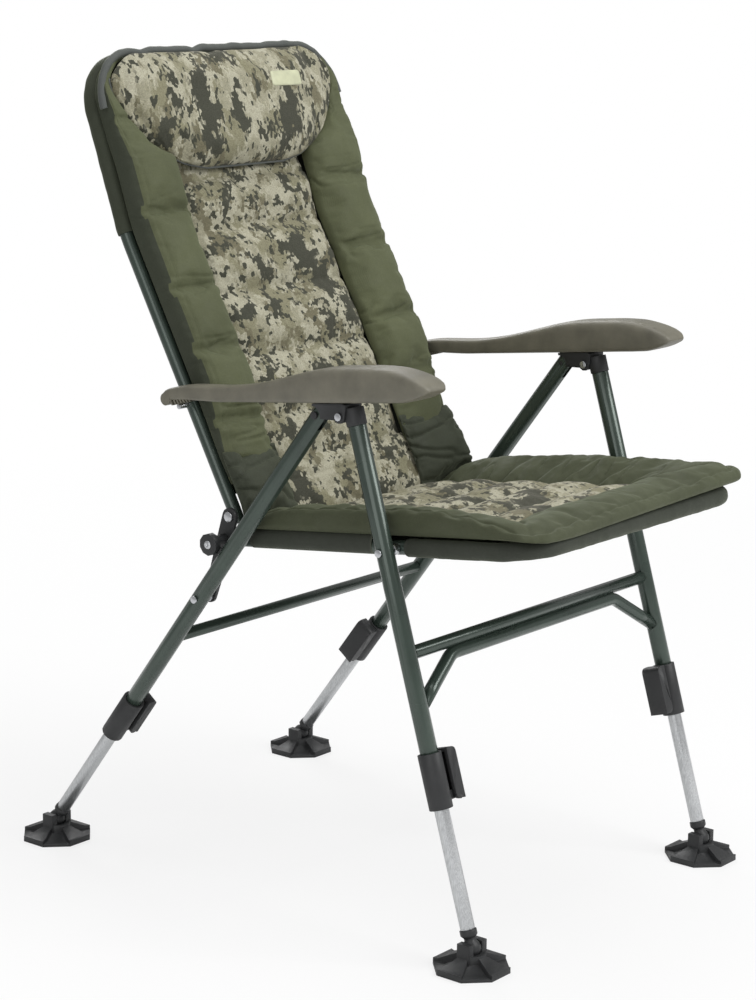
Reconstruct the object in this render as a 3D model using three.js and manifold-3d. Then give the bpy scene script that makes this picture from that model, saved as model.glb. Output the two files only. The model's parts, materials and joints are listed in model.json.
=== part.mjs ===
// A folding fishing chair: four telescopic legs on mud feet, two armrests with a recline rack,
// and a padded seat and back. Millimetres, +Z up. The sitter faces -Y, so the sitter's right
// hand is on the -X side. Places are measured from the middle of the chair at floor level,
// halfway between the front and rear feet, and the finished chair is then centred on its box.
import * as THREE from 'three'
import { mergeVertices } from 'three/addons/utils/BufferGeometryUtils.js'
import Module from 'manifold-3d'

const wasm = await Module()
wasm.setup()

// Frame tubes
const legTubeOd = 25
const legTubeWall = 1.3
const innerLegOd = 20.5
const innerLegWall = 1.6
const sideTubeOd = 20
const sideTubeWall = 1.5
const frontCrossbarOd = 19
const rearCrossbarOd = 18
const rearSeatTubeOd = 16
const crossbarWall = 1.5

// Clearances
const seatedGap = 0.3
const rackGap = 0.8
const socketGap = 0.9
const cutOverrun = 3
const tubeBendFacetDegrees = 18

// Half widths between the chair's middle and its tube axes
const legPlane = 284
const sidePlane = 250

// Where the front leg axis and the rear leg pivot stand, and how far the legs lean
const frontLegTopDepth = -190
const frontLegTopHeight = 727
const frontLeanDegrees = 16.7
const apexBoltBehindLeg = 14
const rearPivotBehindApex = 46
const rearPivotBelowApex = 4
const rearLeanDegrees = 37.3
const armTiltDegrees = 6.9

// Distances down the front leg from its top, and down the rear leg from its pivot
const seatBoltDown = 184.8
const upperCrossbarDown = 325.2
const lowerCrossbarBelowUpper = 79.4
const frontTubeBelowCrossbar = 126.4
const axleDown = 285.6
const linkBoltBelowAxle = 84.4
const rearCrossbarBelowLinkBolt = 83.3
const rearTubeBelowCrossbar = 210.3

// The inner legs stand on the balls in the feet, and the longest drawn one keeps this much in
const ballBelowInnerLeg = 25.6
const innerLegInsertion = 117.6
const ballCentreHeight = 30

// Bent lower crossbar
const lowerBarRise = 60
const lowerBarInset = 90
const lowerBarBendRadius = 34

// Axle behind the seat, on the rear leg, and the backrest hinge above it
const knobRadius = 16
const knobThickness = 11
const knobOuterFace = 299
const knobBossRadius = 10.5
const axleRadius = 4
const hingeForwardOfAxle = 10
const hingeAboveAxle = 36.3
const linkThickness = 5
const linkTopRadius = 12.5
const linkMiddleRadius = 13.5
const linkEndRadius = 10

// Bolts
const boltRadius = 3
const boltHeadRadius = 5.5
const boltHeadThickness = 3
const boltSpacerRadius = 8
const boltEndStandOut = 1
const hingeScrewHeadRadius = 7.5
const hingeScrewHeadThickness = 2.4
const reclinePinRadius = 4
const reclinePinReach = 19

// Front leg cap and armrest bracket
const capRadius = 14
const capHalfHeight = 12
const capBoreTop = -1
const lugRadius = 9
const cheekGap = 0.5
const cheekThickness = 3
const cheekLobeRadius = 9.5
const cheekLowerEdge = 2
const bracketNose = 12
const bracketNoseDrop = 2.4
const bracketNoseLength = 7
const bracketWebStart = 14
const bracketWebThickness = 4
const bracketBlockBottom = -2
const bracketArmGap = 0.6
const legTopClearance = 0.5
const tongueThickness = 8
const tongueRadius = 9
const slotGap = 0.5
const slotDepth = 20
const armLugThickness = 8
const armLugHalfWidth = 6
const armPivotForward = 6
const armPivotUp = 27
const armPinHalfLength = 14
const armPocketGap = 0.6
const armPocketSwing = 6
const armPocketTop = 3

// Armrest
const armUnderside = 18.5
const armThickness = 47.3
const armFrontReach = 156.5
const armRearReach = 334
const armInnerFace = 257
const armOuterFace = 311
const rackInnerFace = 264
const rackWidth = 16
const rackToothHeight = 3.5
const rackTeeth = 5
const rackRelief = 1.6
const rackToothDegrees = 1.94
const rackAheadOfPinDegrees = 9.1
const reclinePinInset = 18.05
const reclinePinDrop = 8.34
const rackBlockTop = 30
const armTailRadius = 9
const armTailInset = 9.5
const armTailUp = 7

// Leg locks
const lockRadius = 16.5
const lockAboveTubeEnd = 70.6
const lockBelowTubeEnd = 5.6
const lockPivotAboveTubeEnd = 9
const lockPivotInset = 28
const lockBossHalfWidth = 9
const lockBossNoseRadius = 6.2
const leverPinRadius = 2.7
const leverLength = 63
const leverHalfWidth = 15
const leverOuterFace = 37.5
const leverInnerEdge = 19.5
const leverPlateThickness = 3
const leverCheekGap = 0.4
const leverTopThickness = 5
const leverTailRadius = 8.5
const leverCorner = 9

// Foot plug and mud foot
const plugRingRadius = 11.8
const plugRingHeight = 8
const plugBevelHeight = 4
const plugNeckRadius = 8
const plugSpigotHeight = 16
const ballRadius = 13
const ballFacetDegrees = 26
const footRadius = 54
const footSides = 8
const footPlateThickness = 4
const footRimHeight = 9
const footLipWidth = 7
const footHubHeight = 22
const footWedgeInner = 15
const footCoreRadius = 21
const footRecessTop = 12
const cupRadius = 20
const cupRimHeight = 23
const hornHeight = 39
const hornGap = 1.2
const hornHalfWidth = 10

// Seat frame and upholstery, measured forward from the axle
const seatTailLength = 10
const seatFrontTube = 527
const seatBendRadius = 62
const seatRearTube = 22
const slingThickness = 3
const padBaseGap = 0.4
const seatPadRear = 34
const seatPadFront = 456
const seatPadHalfWidth = 172
const seatPadHeight = 29
const seatBolsterOuter = 262
const seatBolsterHeight = 27
const seatBolsterWingRise = 12
const seatBorderDepth = 84
const seatBorderOverhang = 7
const seatBorderThickness = 17
const seatBorderDrop = 20
const channelDepth = 5
const seatChannels = 4
const seamGap = 1.5

// Back frame and upholstery, measured up from the backrest hinge
const backTailLength = 12
const backKinkUp = 435
const backKinkDegrees = 9.3
const backUpperLength = 252
const backBendRadius = 72
const backKinkRadius = 260
const backPadStart = 46
const backPadHalfWidth = 150
const backPadHeight = 31
const backBolsterOuter = 255
const backBolsterHeight = 44
const backBolsterStart = 40
const backTopCover = 14
const backChannels = 5
const pillowBottomUp = 520
const pillowBottomHalf = 96
const pillowTopHalf = 236
const pillowHeight = 42
const pillowBase = 16.9
const tuckDepth = 4

const radians = THREE.MathUtils.degToRad
const legTubeRadius = legTubeOd / 2
const innerLegRadius = innerLegOd / 2
const sideTubeRadius = sideTubeOd / 2
const rearCrossbarRadius = rearCrossbarOd / 2
const frontCrossbarRadius = frontCrossbarOd / 2
const boltHoleRadius = boltRadius + seatedGap

// Facets round a full turn
const legFacets = 16
const smallFacets = 10
const boreSides = 6
const socketRings = 8

const frameGreen = new THREE.MeshStandardMaterial({ color: 0x4b554d, roughness: 0.45, metalness: 0.3 })
const barAluminium = new THREE.MeshStandardMaterial({ color: 0xc4c6c6, roughness: 0.35, metalness: 0.9 })
const blackPlastic = new THREE.MeshStandardMaterial({ color: 0x2b2c2d, roughness: 0.6, metalness: 0 })
const khakiPlastic = new THREE.MeshStandardMaterial({ color: 0x6c695c, roughness: 0.55, metalness: 0 })
const boltSteel = new THREE.MeshStandardMaterial({ color: 0xb9bbbd, roughness: 0.3, metalness: 1 })
const oliveCloth = new THREE.MeshStandardMaterial({ color: 0x5c6448, roughness: 0.9, metalness: 0 })
const camoCloth = new THREE.MeshStandardMaterial({ color: 0x8f8b75, roughness: 0.95, metalness: 0 })
const slingCloth = new THREE.MeshStandardMaterial({ color: 0x2f3229, roughness: 0.9, metalness: 0 })

// Shapes and primitive solids

function discShape(radius, x = 0, y = 0) {
  const shape = new THREE.Shape()
  shape.absarc(x, y, radius, 0, 2 * Math.PI, false)
  return shape
}

// A tube's section. A bore that nothing slides in has few sides.
function ringShape(outerRadius, innerRadius, sides = boreSides) {
  const shape = discShape(outerRadius)
  const corners = Array.from({ length: sides }, (_, corner) => {
    const angle = -corner * 2 * Math.PI / sides
    return new THREE.Vector2(innerRadius * Math.cos(angle), innerRadius * Math.sin(angle))
  })
  shape.holes.push(new THREE.Path(corners))
  return shape
}

function outlineShape(points) {
  return new THREE.Shape(points.map(([x, y]) => new THREE.Vector2(x, y)))
}

// An upright prism of a shape from one height to another.
function prism(shape, bottom, top, facets = legFacets) {
  const geometry = new THREE.ExtrudeGeometry(shape, {
    depth: top - bottom,
    bevelEnabled: false,
    curveSegments: facets / 2,
  })
  return geometry.translate(0, 0, bottom)
}

// A prism along X whose shape is drawn in the plane of Y (first) and Z (second).
function sidePrism(shape, start, end, facets = legFacets) {
  const geometry = prism(shape, start, end, facets)
  const turn = new THREE.Matrix4().makeBasis(
    new THREE.Vector3(0, 1, 0), new THREE.Vector3(0, 0, 1), new THREE.Vector3(1, 0, 0))
  return geometry.applyMatrix4(turn)
}

// A prism along Y whose shape is drawn in the plane of Z (first) and X (second).
function depthPrism(shape, start, end, facets = legFacets) {
  const geometry = prism(shape, start, end, facets)
  const turn = new THREE.Matrix4().makeBasis(
    new THREE.Vector3(0, 0, 1), new THREE.Vector3(1, 0, 0), new THREE.Vector3(0, 1, 0))
  return geometry.applyMatrix4(turn)
}

function rodAlongX(radius, start, end, y = 0, z = 0, facets = smallFacets) {
  return sidePrism(discShape(radius, y, z), start, end, facets)
}

// A turned pin along X from a list of [radius, x] steps, from its inner end to its outer end.
function turnedAlongX(steps, y = 0, z = 0) {
  const profile = [[0, steps[0][1]], ...steps, [0, steps.at(-1)[1]]]
  const points = profile.map(([radius, x]) => new THREE.Vector2(radius, x))
  const geometry = new THREE.LatheGeometry(points, smallFacets)
  return geometry.rotateZ(-Math.PI / 2).translate(0, y, z)
}

// Booleans

function solidOf(geometry) {
  const bare = geometry.clone()
  bare.deleteAttribute('normal')
  bare.deleteAttribute('uv')
  const welded = mergeVertices(bare)
  return new wasm.Manifold(new wasm.Mesh({
    numProp: 3,
    vertProperties: Float32Array.from(welded.attributes.position.array),
    triVerts: Uint32Array.from(welded.index.array),
  }))
}

function geometryOf(solid) {
  const mesh = solid.getMesh()
  const geometry = new THREE.BufferGeometry()
  geometry.setAttribute('position', new THREE.BufferAttribute(Float32Array.from(mesh.vertProperties), 3))
  geometry.setIndex(new THREE.BufferAttribute(Uint32Array.from(mesh.triVerts), 1))
  geometry.computeVertexNormals()
  return geometry
}

function cut(body, ...tools) {
  return geometryOf(tools.reduce((solid, tool) => solid.subtract(solidOf(tool)), solidOf(body)))
}

function join(...bodies) {
  return geometryOf(bodies.slice(1).reduce((solid, body) => solid.add(solidOf(body)), solidOf(bodies[0])))
}

function keepInside(body, limit) {
  return geometryOf(solidOf(body).intersect(solidOf(limit)))
}

function mirrored(geometry) {
  const copy = geometry.index ? geometry.toNonIndexed() : geometry.clone()
  copy.scale(-1, 1, 1)
  const place = copy.attributes.position
  for (let first = 0; first < place.count; first += 3) {
    const second = new THREE.Vector3().fromBufferAttribute(place, first + 1)
    const third = new THREE.Vector3().fromBufferAttribute(place, first + 2)
    place.setXYZ(first + 1, ...third)
    place.setXYZ(first + 2, ...second)
  }
  copy.computeVertexNormals()
  return copy
}

// Tubes with round bends

class StationPath extends THREE.Curve {
  constructor(stations) {
    super()
    this.stations = stations
  }

  stationAt(share) {
    return this.stations[Math.round(share * (this.stations.length - 1))]
  }

  getPointAt(share, target = new THREE.Vector3()) {
    return target.copy(this.stationAt(share).point)
  }

  getTangentAt(share, target = new THREE.Vector3()) {
    return target.copy(this.stationAt(share).tangent)
  }
}

// Stations along straight runs that meet in arcs, with one bend radius for each inner corner.
function bentStations(corners, bendRadii) {
  const stations = []
  const direction = (from, to) => to.clone().sub(from).normalize()
  stations.push({ point: corners[0], tangent: direction(corners[0], corners[1]) })
  for (let at = 1; at < corners.length - 1; at++) {
    const before = direction(corners[at - 1], corners[at])
    const after = direction(corners[at], corners[at + 1])
    const turn = before.angleTo(after)
    const radius = bendRadii[at - 1]
    const start = corners[at].clone().addScaledVector(before, -radius * Math.tan(turn / 2))
    const inward = after.clone().addScaledVector(before, -after.dot(before)).normalize()
    const centre = start.clone().addScaledVector(inward, radius)
    const facets = Math.max(2, Math.ceil(turn / radians(tubeBendFacetDegrees)))
    for (let facet = 0; facet <= facets; facet++) {
      const angle = turn * facet / facets
      const point = centre.clone()
        .addScaledVector(inward, -radius * Math.cos(angle))
        .addScaledVector(before, radius * Math.sin(angle))
      const tangent = before.clone().multiplyScalar(Math.cos(angle)).addScaledVector(inward, Math.sin(angle))
      stations.push({ point, tangent })
    }
  }
  stations.push({ point: corners.at(-1), tangent: direction(corners.at(-2), corners.at(-1)) })
  return stations
}

function bentTube(corners, bendRadii, outerRadius, wall, facets = smallFacets) {
  const stations = bentStations(corners, bendRadii)
  return new THREE.ExtrudeGeometry(ringShape(outerRadius, outerRadius - wall), {
    steps: stations.length - 1,
    extrudePath: new StationPath(stations),
    curveSegments: facets / 2,
  })
}

// Rings of points joined into one closed skin, with a flat cap at each end.
function loft(rings) {
  const size = rings[0].length
  const positions = rings.flat(2)
  const triangles = []
  for (let ring = 0; ring < rings.length - 1; ring++) {
    for (let at = 0; at < size; at++) {
      const next = (at + 1) % size
      const [a, b] = [ring * size + at, ring * size + next]
      const [c, d] = [a + size, b + size]
      triangles.push(a, b, d, a, d, c)
    }
  }
  const last = (rings.length - 1) * size
  for (let at = 1; at < size - 1; at++) {
    triangles.push(0, at + 1, at)
    triangles.push(last, last + at, last + at + 1)
  }
  const geometry = new THREE.BufferGeometry()
  geometry.setAttribute('position', new THREE.Float32BufferAttribute(positions, 3))
  geometry.setIndex(triangles)
  geometry.computeVertexNormals()
  return geometry
}

// Columns and rows of each cushion's skins
const padColumns = 8
const bolsterColumns = 6
const wideColumns = 12
const seatPadRows = 25
const seatBolsterRows = 20
const borderRows = 8
const backPadRows = 28
const pillowRows = 12
const backBolsterRows = 24

// A closed cushion: place(u, v, side) gives a point of the upper (side 1) or lower (side -1)
// skin, with u and v from -1 to 1. The two skins meet along the rim.
function cushion(columns, rows, place) {
  const spread = (at, count) => Math.sin((at / count - 1 / 2) * Math.PI)
  const positions = []
  const upper = []
  const lower = []
  for (let row = 0; row <= rows; row++) {
    const v = 2 * row / rows - 1
    for (let column = 0; column <= columns; column++) {
      const u = spread(column, columns)
      const onRim = row === 0 || row === rows || column === 0 || column === columns
      upper.push(positions.length / 3)
      positions.push(...place(u, v, 1))
      if (onRim) {
        lower.push(upper.at(-1))
        continue
      }
      lower.push(positions.length / 3)
      positions.push(...place(u, v, -1))
    }
  }
  const triangles = []
  const at = (skin, row, column) => skin[row * (columns + 1) + column]
  for (let row = 0; row < rows; row++) {
    for (let column = 0; column < columns; column++) {
      for (const [skin, flip] of [[upper, false], [lower, true]]) {
        const quad = [at(skin, row, column), at(skin, row, column + 1),
          at(skin, row + 1, column + 1), at(skin, row + 1, column)]
        const [a, b, c, d] = flip ? quad.reverse() : quad
        triangles.push(a, b, c, a, c, d)
      }
    }
  }
  const geometry = new THREE.BufferGeometry()
  geometry.setAttribute('position', new THREE.Float32BufferAttribute(positions, 3))
  geometry.setIndex(triangles)
  geometry.computeVertexNormals()
  return geometry
}

// Assembly helpers

function addGroup(parent, y, z, leanDegrees = 0) {
  const group = new THREE.Group()
  group.position.set(0, y, z)
  group.rotation.x = radians(leanDegrees)
  parent.add(group)
  return group
}

function addPart(parent, name, geometry, material) {
  const mesh = new THREE.Mesh(geometry, material)
  mesh.name = name
  parent.add(mesh)
}

// A left piece, drawn on the +X side, and its mirror image.
function addPair(parent, name, geometry, material) {
  addPart(parent, `${name}_right`, mirrored(geometry), material)
  addPart(parent, `${name}_left`, geometry, material)
}

// Places in the side view, as [depth, height]

function downLeg(top, leanDegrees, distance) {
  return [
    top[0] + distance * Math.sin(radians(leanDegrees)),
    top[1] - distance * Math.cos(radians(leanDegrees)),
  ]
}

// A side-view point seen from a group that stands at an origin and leans.
function seenFrom(point, origin, leanDegrees) {
  const [dy, dz] = [point[0] - origin[0], point[1] - origin[1]]
  const [sine, cosine] = [Math.sin(radians(leanDegrees)), Math.cos(radians(leanDegrees))]
  return [dy * cosine + dz * sine, dz * cosine - dy * sine]
}

const frontLegTop = [frontLegTopDepth, frontLegTopHeight]
const apex = [frontLegTopDepth + apexBoltBehindLeg, frontLegTopHeight]
const rearPivot = [apex[0] + rearPivotBehindApex, apex[1] - rearPivotBelowApex]
const linkBoltDown = axleDown + linkBoltBelowAxle
const lowerCrossbarDown = upperCrossbarDown + lowerCrossbarBelowUpper
const rearCrossbarDown = linkBoltDown + rearCrossbarBelowLinkBolt
const seatBolt = downLeg(frontLegTop, -frontLeanDegrees, seatBoltDown)
const axleOffLeg = legTubeRadius + knobRadius + seatedGap
const axleBesideLeg = downLeg(rearPivot, rearLeanDegrees, axleDown)
const axle = [
  axleBesideLeg[0] + axleOffLeg * Math.cos(radians(rearLeanDegrees)),
  axleBesideLeg[1] + axleOffLeg * Math.sin(radians(rearLeanDegrees)),
]
const linkBolt = downLeg(rearPivot, rearLeanDegrees, linkBoltDown)
const backHinge = [axle[0] - hingeForwardOfAxle, axle[1] + hingeAboveAxle]
const seatSlopeDegrees = THREE.MathUtils.radToDeg(
  Math.atan2(seatBolt[1] - axle[1], axle[0] - seatBolt[0]))

// The backrest leans until its pins meet the rest notch of the armrests' racks
const hingeInArm = seenFrom(backHinge, apex, -armTiltDegrees)
const pinBehindHinge = armRearReach - reclinePinInset - hingeInArm[0]
const pinAboveHinge = armUnderside - reclinePinDrop - hingeInArm[1]
const reclinePinUp = Math.hypot(pinBehindHinge, pinAboveHinge)
const backLeanInArmDegrees = THREE.MathUtils.radToDeg(Math.atan2(pinBehindHinge, pinAboveHinge))
const backLeanDegrees = backLeanInArmDegrees + armTiltDegrees

const chair = new THREE.Group()
const frontLegs = addGroup(chair, ...frontLegTop, -frontLeanDegrees)
const rearLegs = addGroup(chair, ...rearPivot, rearLeanDegrees)
const arms = addGroup(chair, ...apex, -armTiltDegrees)
const seat = addGroup(chair, ...axle, -seatSlopeDegrees)
const links = addGroup(chair, 0, 0)
const back = addGroup(chair, ...backHinge, -backLeanDegrees)

// Front legs: hollow tubes that hang from their caps

const apexInLeg = seenFrom(apex, frontLegTop, -frontLeanDegrees)
const crossHole = (z, radius = boltHoleRadius, y = 0) => rodAlongX(
  radius, -legTubeOd, legTubeOd, y, z)
const frontTubeEnd = lowerCrossbarDown + frontTubeBelowCrossbar
const rearTubeEnd = rearCrossbarDown + rearTubeBelowCrossbar
const legTube = (top, bottom) => prism(
  ringShape(legTubeRadius, legTubeRadius - legTubeWall, smallFacets), bottom, top)

const frontLegTube = cut(legTube(capBoreTop - seatedGap, -frontTubeEnd), crossHole(-seatBoltDown))
addPair(frontLegs, 'front_leg', frontLegTube.translate(legPlane, 0, 0), frameGreen)

// The cap: a cup over the tube end, with the lug of the apex bolt behind it
function frontLegCap() {
  const cup = prism(discShape(capRadius), -capHalfHeight, capHalfHeight)
  const arm = outlineShape([
    [0, apexInLeg[1] - lugRadius], [apexInLeg[0], apexInLeg[1] - lugRadius],
    [apexInLeg[0], apexInLeg[1] + lugRadius], [0, apexInLeg[1] + lugRadius],
  ])
  const lug = join(
    sidePrism(arm, -capRadius, capRadius),
    rodAlongX(lugRadius, -capRadius, capRadius, ...apexInLeg, legFacets))
  const tubeSpace = prism(discShape(legTubeRadius + seatedGap), -capHalfHeight - cutOverrun, capBoreTop)
  return cut(join(cup, lug), tubeSpace, crossHole(apexInLeg[1], boltHoleRadius, apexInLeg[0]))
}
addPair(frontLegs, 'front_leg_cap', frontLegCap().translate(legPlane, 0, 0), blackPlastic)

// Crossbars, coped where they meet the legs
const copeRadius = legTubeRadius + seatedGap
function copes(top, bottom) {
  const tool = prism(discShape(copeRadius), bottom, top)
  return [tool.clone().translate(legPlane, 0, 0), tool.clone().translate(-legPlane, 0, 0)]
}

const upperCrossbar = cut(
  bentTube(
    [new THREE.Vector3(-legPlane, 0, -upperCrossbarDown), new THREE.Vector3(legPlane, 0, -upperCrossbarDown)],
    [], frontCrossbarRadius, crossbarWall),
  ...copes(-upperCrossbarDown + frontCrossbarOd, -upperCrossbarDown - frontCrossbarOd))
addPart(frontLegs, 'front_crossbar_upper', upperCrossbar, frameGreen)

const lowerBarCorner = legPlane - lowerBarInset
const lowerBarMiddleDown = lowerCrossbarDown - lowerBarRise
const lowerCrossbar = cut(
  bentTube(
    [
      new THREE.Vector3(-legPlane, 0, -lowerCrossbarDown),
      new THREE.Vector3(-lowerBarCorner, 0, -lowerBarMiddleDown),
      new THREE.Vector3(lowerBarCorner, 0, -lowerBarMiddleDown),
      new THREE.Vector3(legPlane, 0, -lowerCrossbarDown),
    ],
    [lowerBarBendRadius, lowerBarBendRadius], frontCrossbarRadius, crossbarWall),
  ...copes(-lowerBarMiddleDown, -lowerCrossbarDown - lowerBarRise))
addPart(frontLegs, 'front_crossbar_lower', lowerCrossbar, frameGreen)

// Bolts that carry the seat frame on the front legs, with a spacer between them
const sideTubeInner = sidePlane - sideTubeRadius
const sideTubeOuter = sidePlane + sideTubeRadius
const legInner = legPlane - legTubeRadius
const legOuter = legPlane + legTubeRadius
const seatBoltSteps = [
  [boltRadius, sideTubeInner - boltEndStandOut],
  [boltRadius, sideTubeOuter + seatedGap],
  [boltSpacerRadius, sideTubeOuter + seatedGap],
  [boltSpacerRadius, legInner - seatedGap],
  [boltRadius, legInner - seatedGap],
  [boltRadius, legOuter + seatedGap],
  [boltHeadRadius, legOuter + seatedGap],
  [boltHeadRadius, legOuter + seatedGap + boltHeadThickness],
]
addPair(frontLegs, 'seat_bolt', turnedAlongX(seatBoltSteps, 0, -seatBoltDown), boltSteel)

// Rear legs: the rounded, slotted top takes the bracket's tongue

function rearLegTube() {
  const roundTop = join(
    rodAlongX(legTubeRadius, -legTubeOd, legTubeOd, 0, 0, legFacets),
    prism(discShape(legTubeOd), -rearTubeEnd - cutOverrun, 0))
  const slotHalf = tongueThickness / 2 + slotGap
  const slot = sidePrism(
    outlineShape([
      [-legTubeOd, -slotDepth], [legTubeOd, -slotDepth], [legTubeOd, legTubeOd], [-legTubeOd, legTubeOd],
    ]),
    -slotHalf, slotHalf)
  return cut(
    keepInside(legTube(legTubeRadius, -rearTubeEnd), roundTop),
    slot, crossHole(0), crossHole(-linkBoltDown))
}
addPair(rearLegs, 'rear_leg', rearLegTube().translate(legPlane, 0, 0), frameGreen)

const rearCrossbar = cut(
  bentTube(
    [new THREE.Vector3(-legPlane, 0, -rearCrossbarDown), new THREE.Vector3(legPlane, 0, -rearCrossbarDown)],
    [], rearCrossbarRadius, crossbarWall),
  ...copes(-rearCrossbarDown + rearCrossbarOd, -rearCrossbarDown - rearCrossbarOd))
addPart(rearLegs, 'rear_crossbar', rearCrossbar, frameGreen)

// Bolts of the hinge links on the rear legs
const linkInner = sideTubeOuter + seatedGap
const linkOuter = linkInner + linkThickness
const linkBoltSteps = [
  [boltSpacerRadius, linkOuter + seatedGap],
  [boltSpacerRadius, legInner - seatedGap],
  [boltRadius, legInner - seatedGap],
  [boltRadius, legOuter + seatedGap],
  [boltHeadRadius, legOuter + seatedGap],
  [boltHeadRadius, legOuter + seatedGap + boltHeadThickness],
]
addPair(rearLegs, 'link_bolt', turnedAlongX(linkBoltSteps, 0, -linkBoltDown), boltSteel)

// Leg locks, the same at all four tube ends. The lever's pivot runs along the leg's local Y.

const lockPivotUp = (tubeEnd) => -tubeEnd + lockPivotAboveTubeEnd
const rodAlongY = (radius, halfLength, x, z) => depthPrism(
  discShape(radius, z, x), -halfLength, halfLength, smallFacets)

function lockSleeve(tubeEnd) {
  const pivot = lockPivotUp(tubeEnd)
  const shell = prism(discShape(lockRadius), -tubeEnd - lockBelowTubeEnd, -tubeEnd + lockAboveTubeEnd)
  const web = prism(
    outlineShape([
      [-lockPivotInset, -lockBossHalfWidth], [0, -lockBossHalfWidth],
      [0, lockBossHalfWidth], [-lockPivotInset, lockBossHalfWidth],
    ]),
    pivot - lockBossNoseRadius, pivot + lockBossNoseRadius)
  const nose = rodAlongY(lockBossNoseRadius, lockBossHalfWidth, -lockPivotInset, pivot)
  const tubeSpace = prism(
    discShape(legTubeRadius + seatedGap), -tubeEnd - seatedGap, -tubeEnd + lockAboveTubeEnd + cutOverrun)
  const innerSpace = prism(
    discShape(innerLegRadius + seatedGap), -tubeEnd - lockBelowTubeEnd - cutOverrun, -tubeEnd)
  const pinHole = rodAlongY(leverPinRadius + seatedGap, lockBossHalfWidth + cutOverrun, -lockPivotInset, pivot)
  return cut(join(shell, web, nose), tubeSpace, innerSpace, pinHole)
}

// The lever's side outline, as [height above the pivot, distance in from the leg axis]
function lockLever(tubeEnd) {
  const pivot = lockPivotUp(tubeEnd)
  const outer = new THREE.Shape()
  outer.moveTo(pivot, -leverInnerEdge)
  outer.lineTo(pivot, -leverOuterFace)
  outer.lineTo(pivot + leverLength - leverCorner, -leverOuterFace)
  outer.quadraticCurveTo(
    pivot + leverLength, -leverOuterFace, pivot + leverLength, -leverOuterFace + leverCorner)
  outer.lineTo(pivot + leverLength, -leverInnerEdge)
  const body = depthPrism(outer, -leverHalfWidth, leverHalfWidth, smallFacets)
  const tail = rodAlongY(leverTailRadius, leverHalfWidth, -lockPivotInset, pivot)
  const plateTail = prism(
    outlineShape([
      [-leverOuterFace, -leverHalfWidth], [-leverOuterFace + leverPlateThickness, -leverHalfWidth],
      [-leverOuterFace + leverPlateThickness, leverHalfWidth], [-leverOuterFace, leverHalfWidth],
    ]),
    pivot - leverTailRadius, pivot + leverTailRadius)
  const channelHalf = lockBossHalfWidth + leverCheekGap
  const channel = depthPrism(
    outlineShape([
      [pivot - leverLength, 0],
      [pivot - leverLength, -leverOuterFace + leverPlateThickness],
      [pivot + leverLength - leverTopThickness, -leverOuterFace + leverPlateThickness],
      [pivot + leverLength - leverTopThickness, 0],
    ]),
    -channelHalf, channelHalf)
  const pin = rodAlongY(leverPinRadius, leverHalfWidth - leverCheekGap, -lockPivotInset, pivot)
  return join(cut(join(body, tail, plateTail), channel), pin)
}

// Telescopic inner leg with its plug: ring, neck and ball

function innerLeg(end, length) {
  const tube = ringShape(innerLegRadius, innerLegRadius - innerLegWall, legFacets)
  return prism(tube, -end, -end + length)
}

function legPlug(end, ballDown) {
  const spigot = innerLegRadius - innerLegWall - seatedGap
  const ring = -end - seatedGap
  const neckFoot = -ballDown + ballRadius * Math.cos(Math.asin(plugNeckRadius / ballRadius))
  const profile = [
    [0, ring + plugSpigotHeight], [spigot, ring + plugSpigotHeight], [spigot, ring],
    [plugRingRadius, ring], [plugRingRadius, ring - plugRingHeight],
    [plugNeckRadius, ring - plugRingHeight - plugBevelHeight], [plugNeckRadius, neckFoot],
  ]
  const neckAngle = Math.asin(plugNeckRadius / ballRadius)
  const facets = Math.ceil((Math.PI - neckAngle) / radians(ballFacetDegrees))
  for (let facet = 1; facet <= facets; facet++) {
    const angle = neckAngle + (Math.PI - neckAngle) * facet / facets
    const radius = facet === facets ? 0 : ballRadius * Math.sin(angle)
    profile.push([radius, -ballDown + ballRadius * Math.cos(angle)])
  }
  const points = profile.reverse().map(([radius, z]) => new THREE.Vector2(radius, z))
  return new THREE.LatheGeometry(points, smallFacets).rotateX(Math.PI / 2)
}

// Mud foot: an eight-sided plate with four raised wedges, and a cup with two horns round the ball

function footSector(profile, halfWidth) {
  const wedge = depthPrism(profile, -halfWidth, halfWidth)
  const slope = Math.tan(Math.PI / footSides)
  const sector = prism(
    outlineShape([[0, 0], [footRadius * 2, -footRadius * 2 * slope], [footRadius * 2, footRadius * 2 * slope]]),
    -cutOverrun, footRadius)
  return keepInside(wedge, sector)
}

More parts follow.
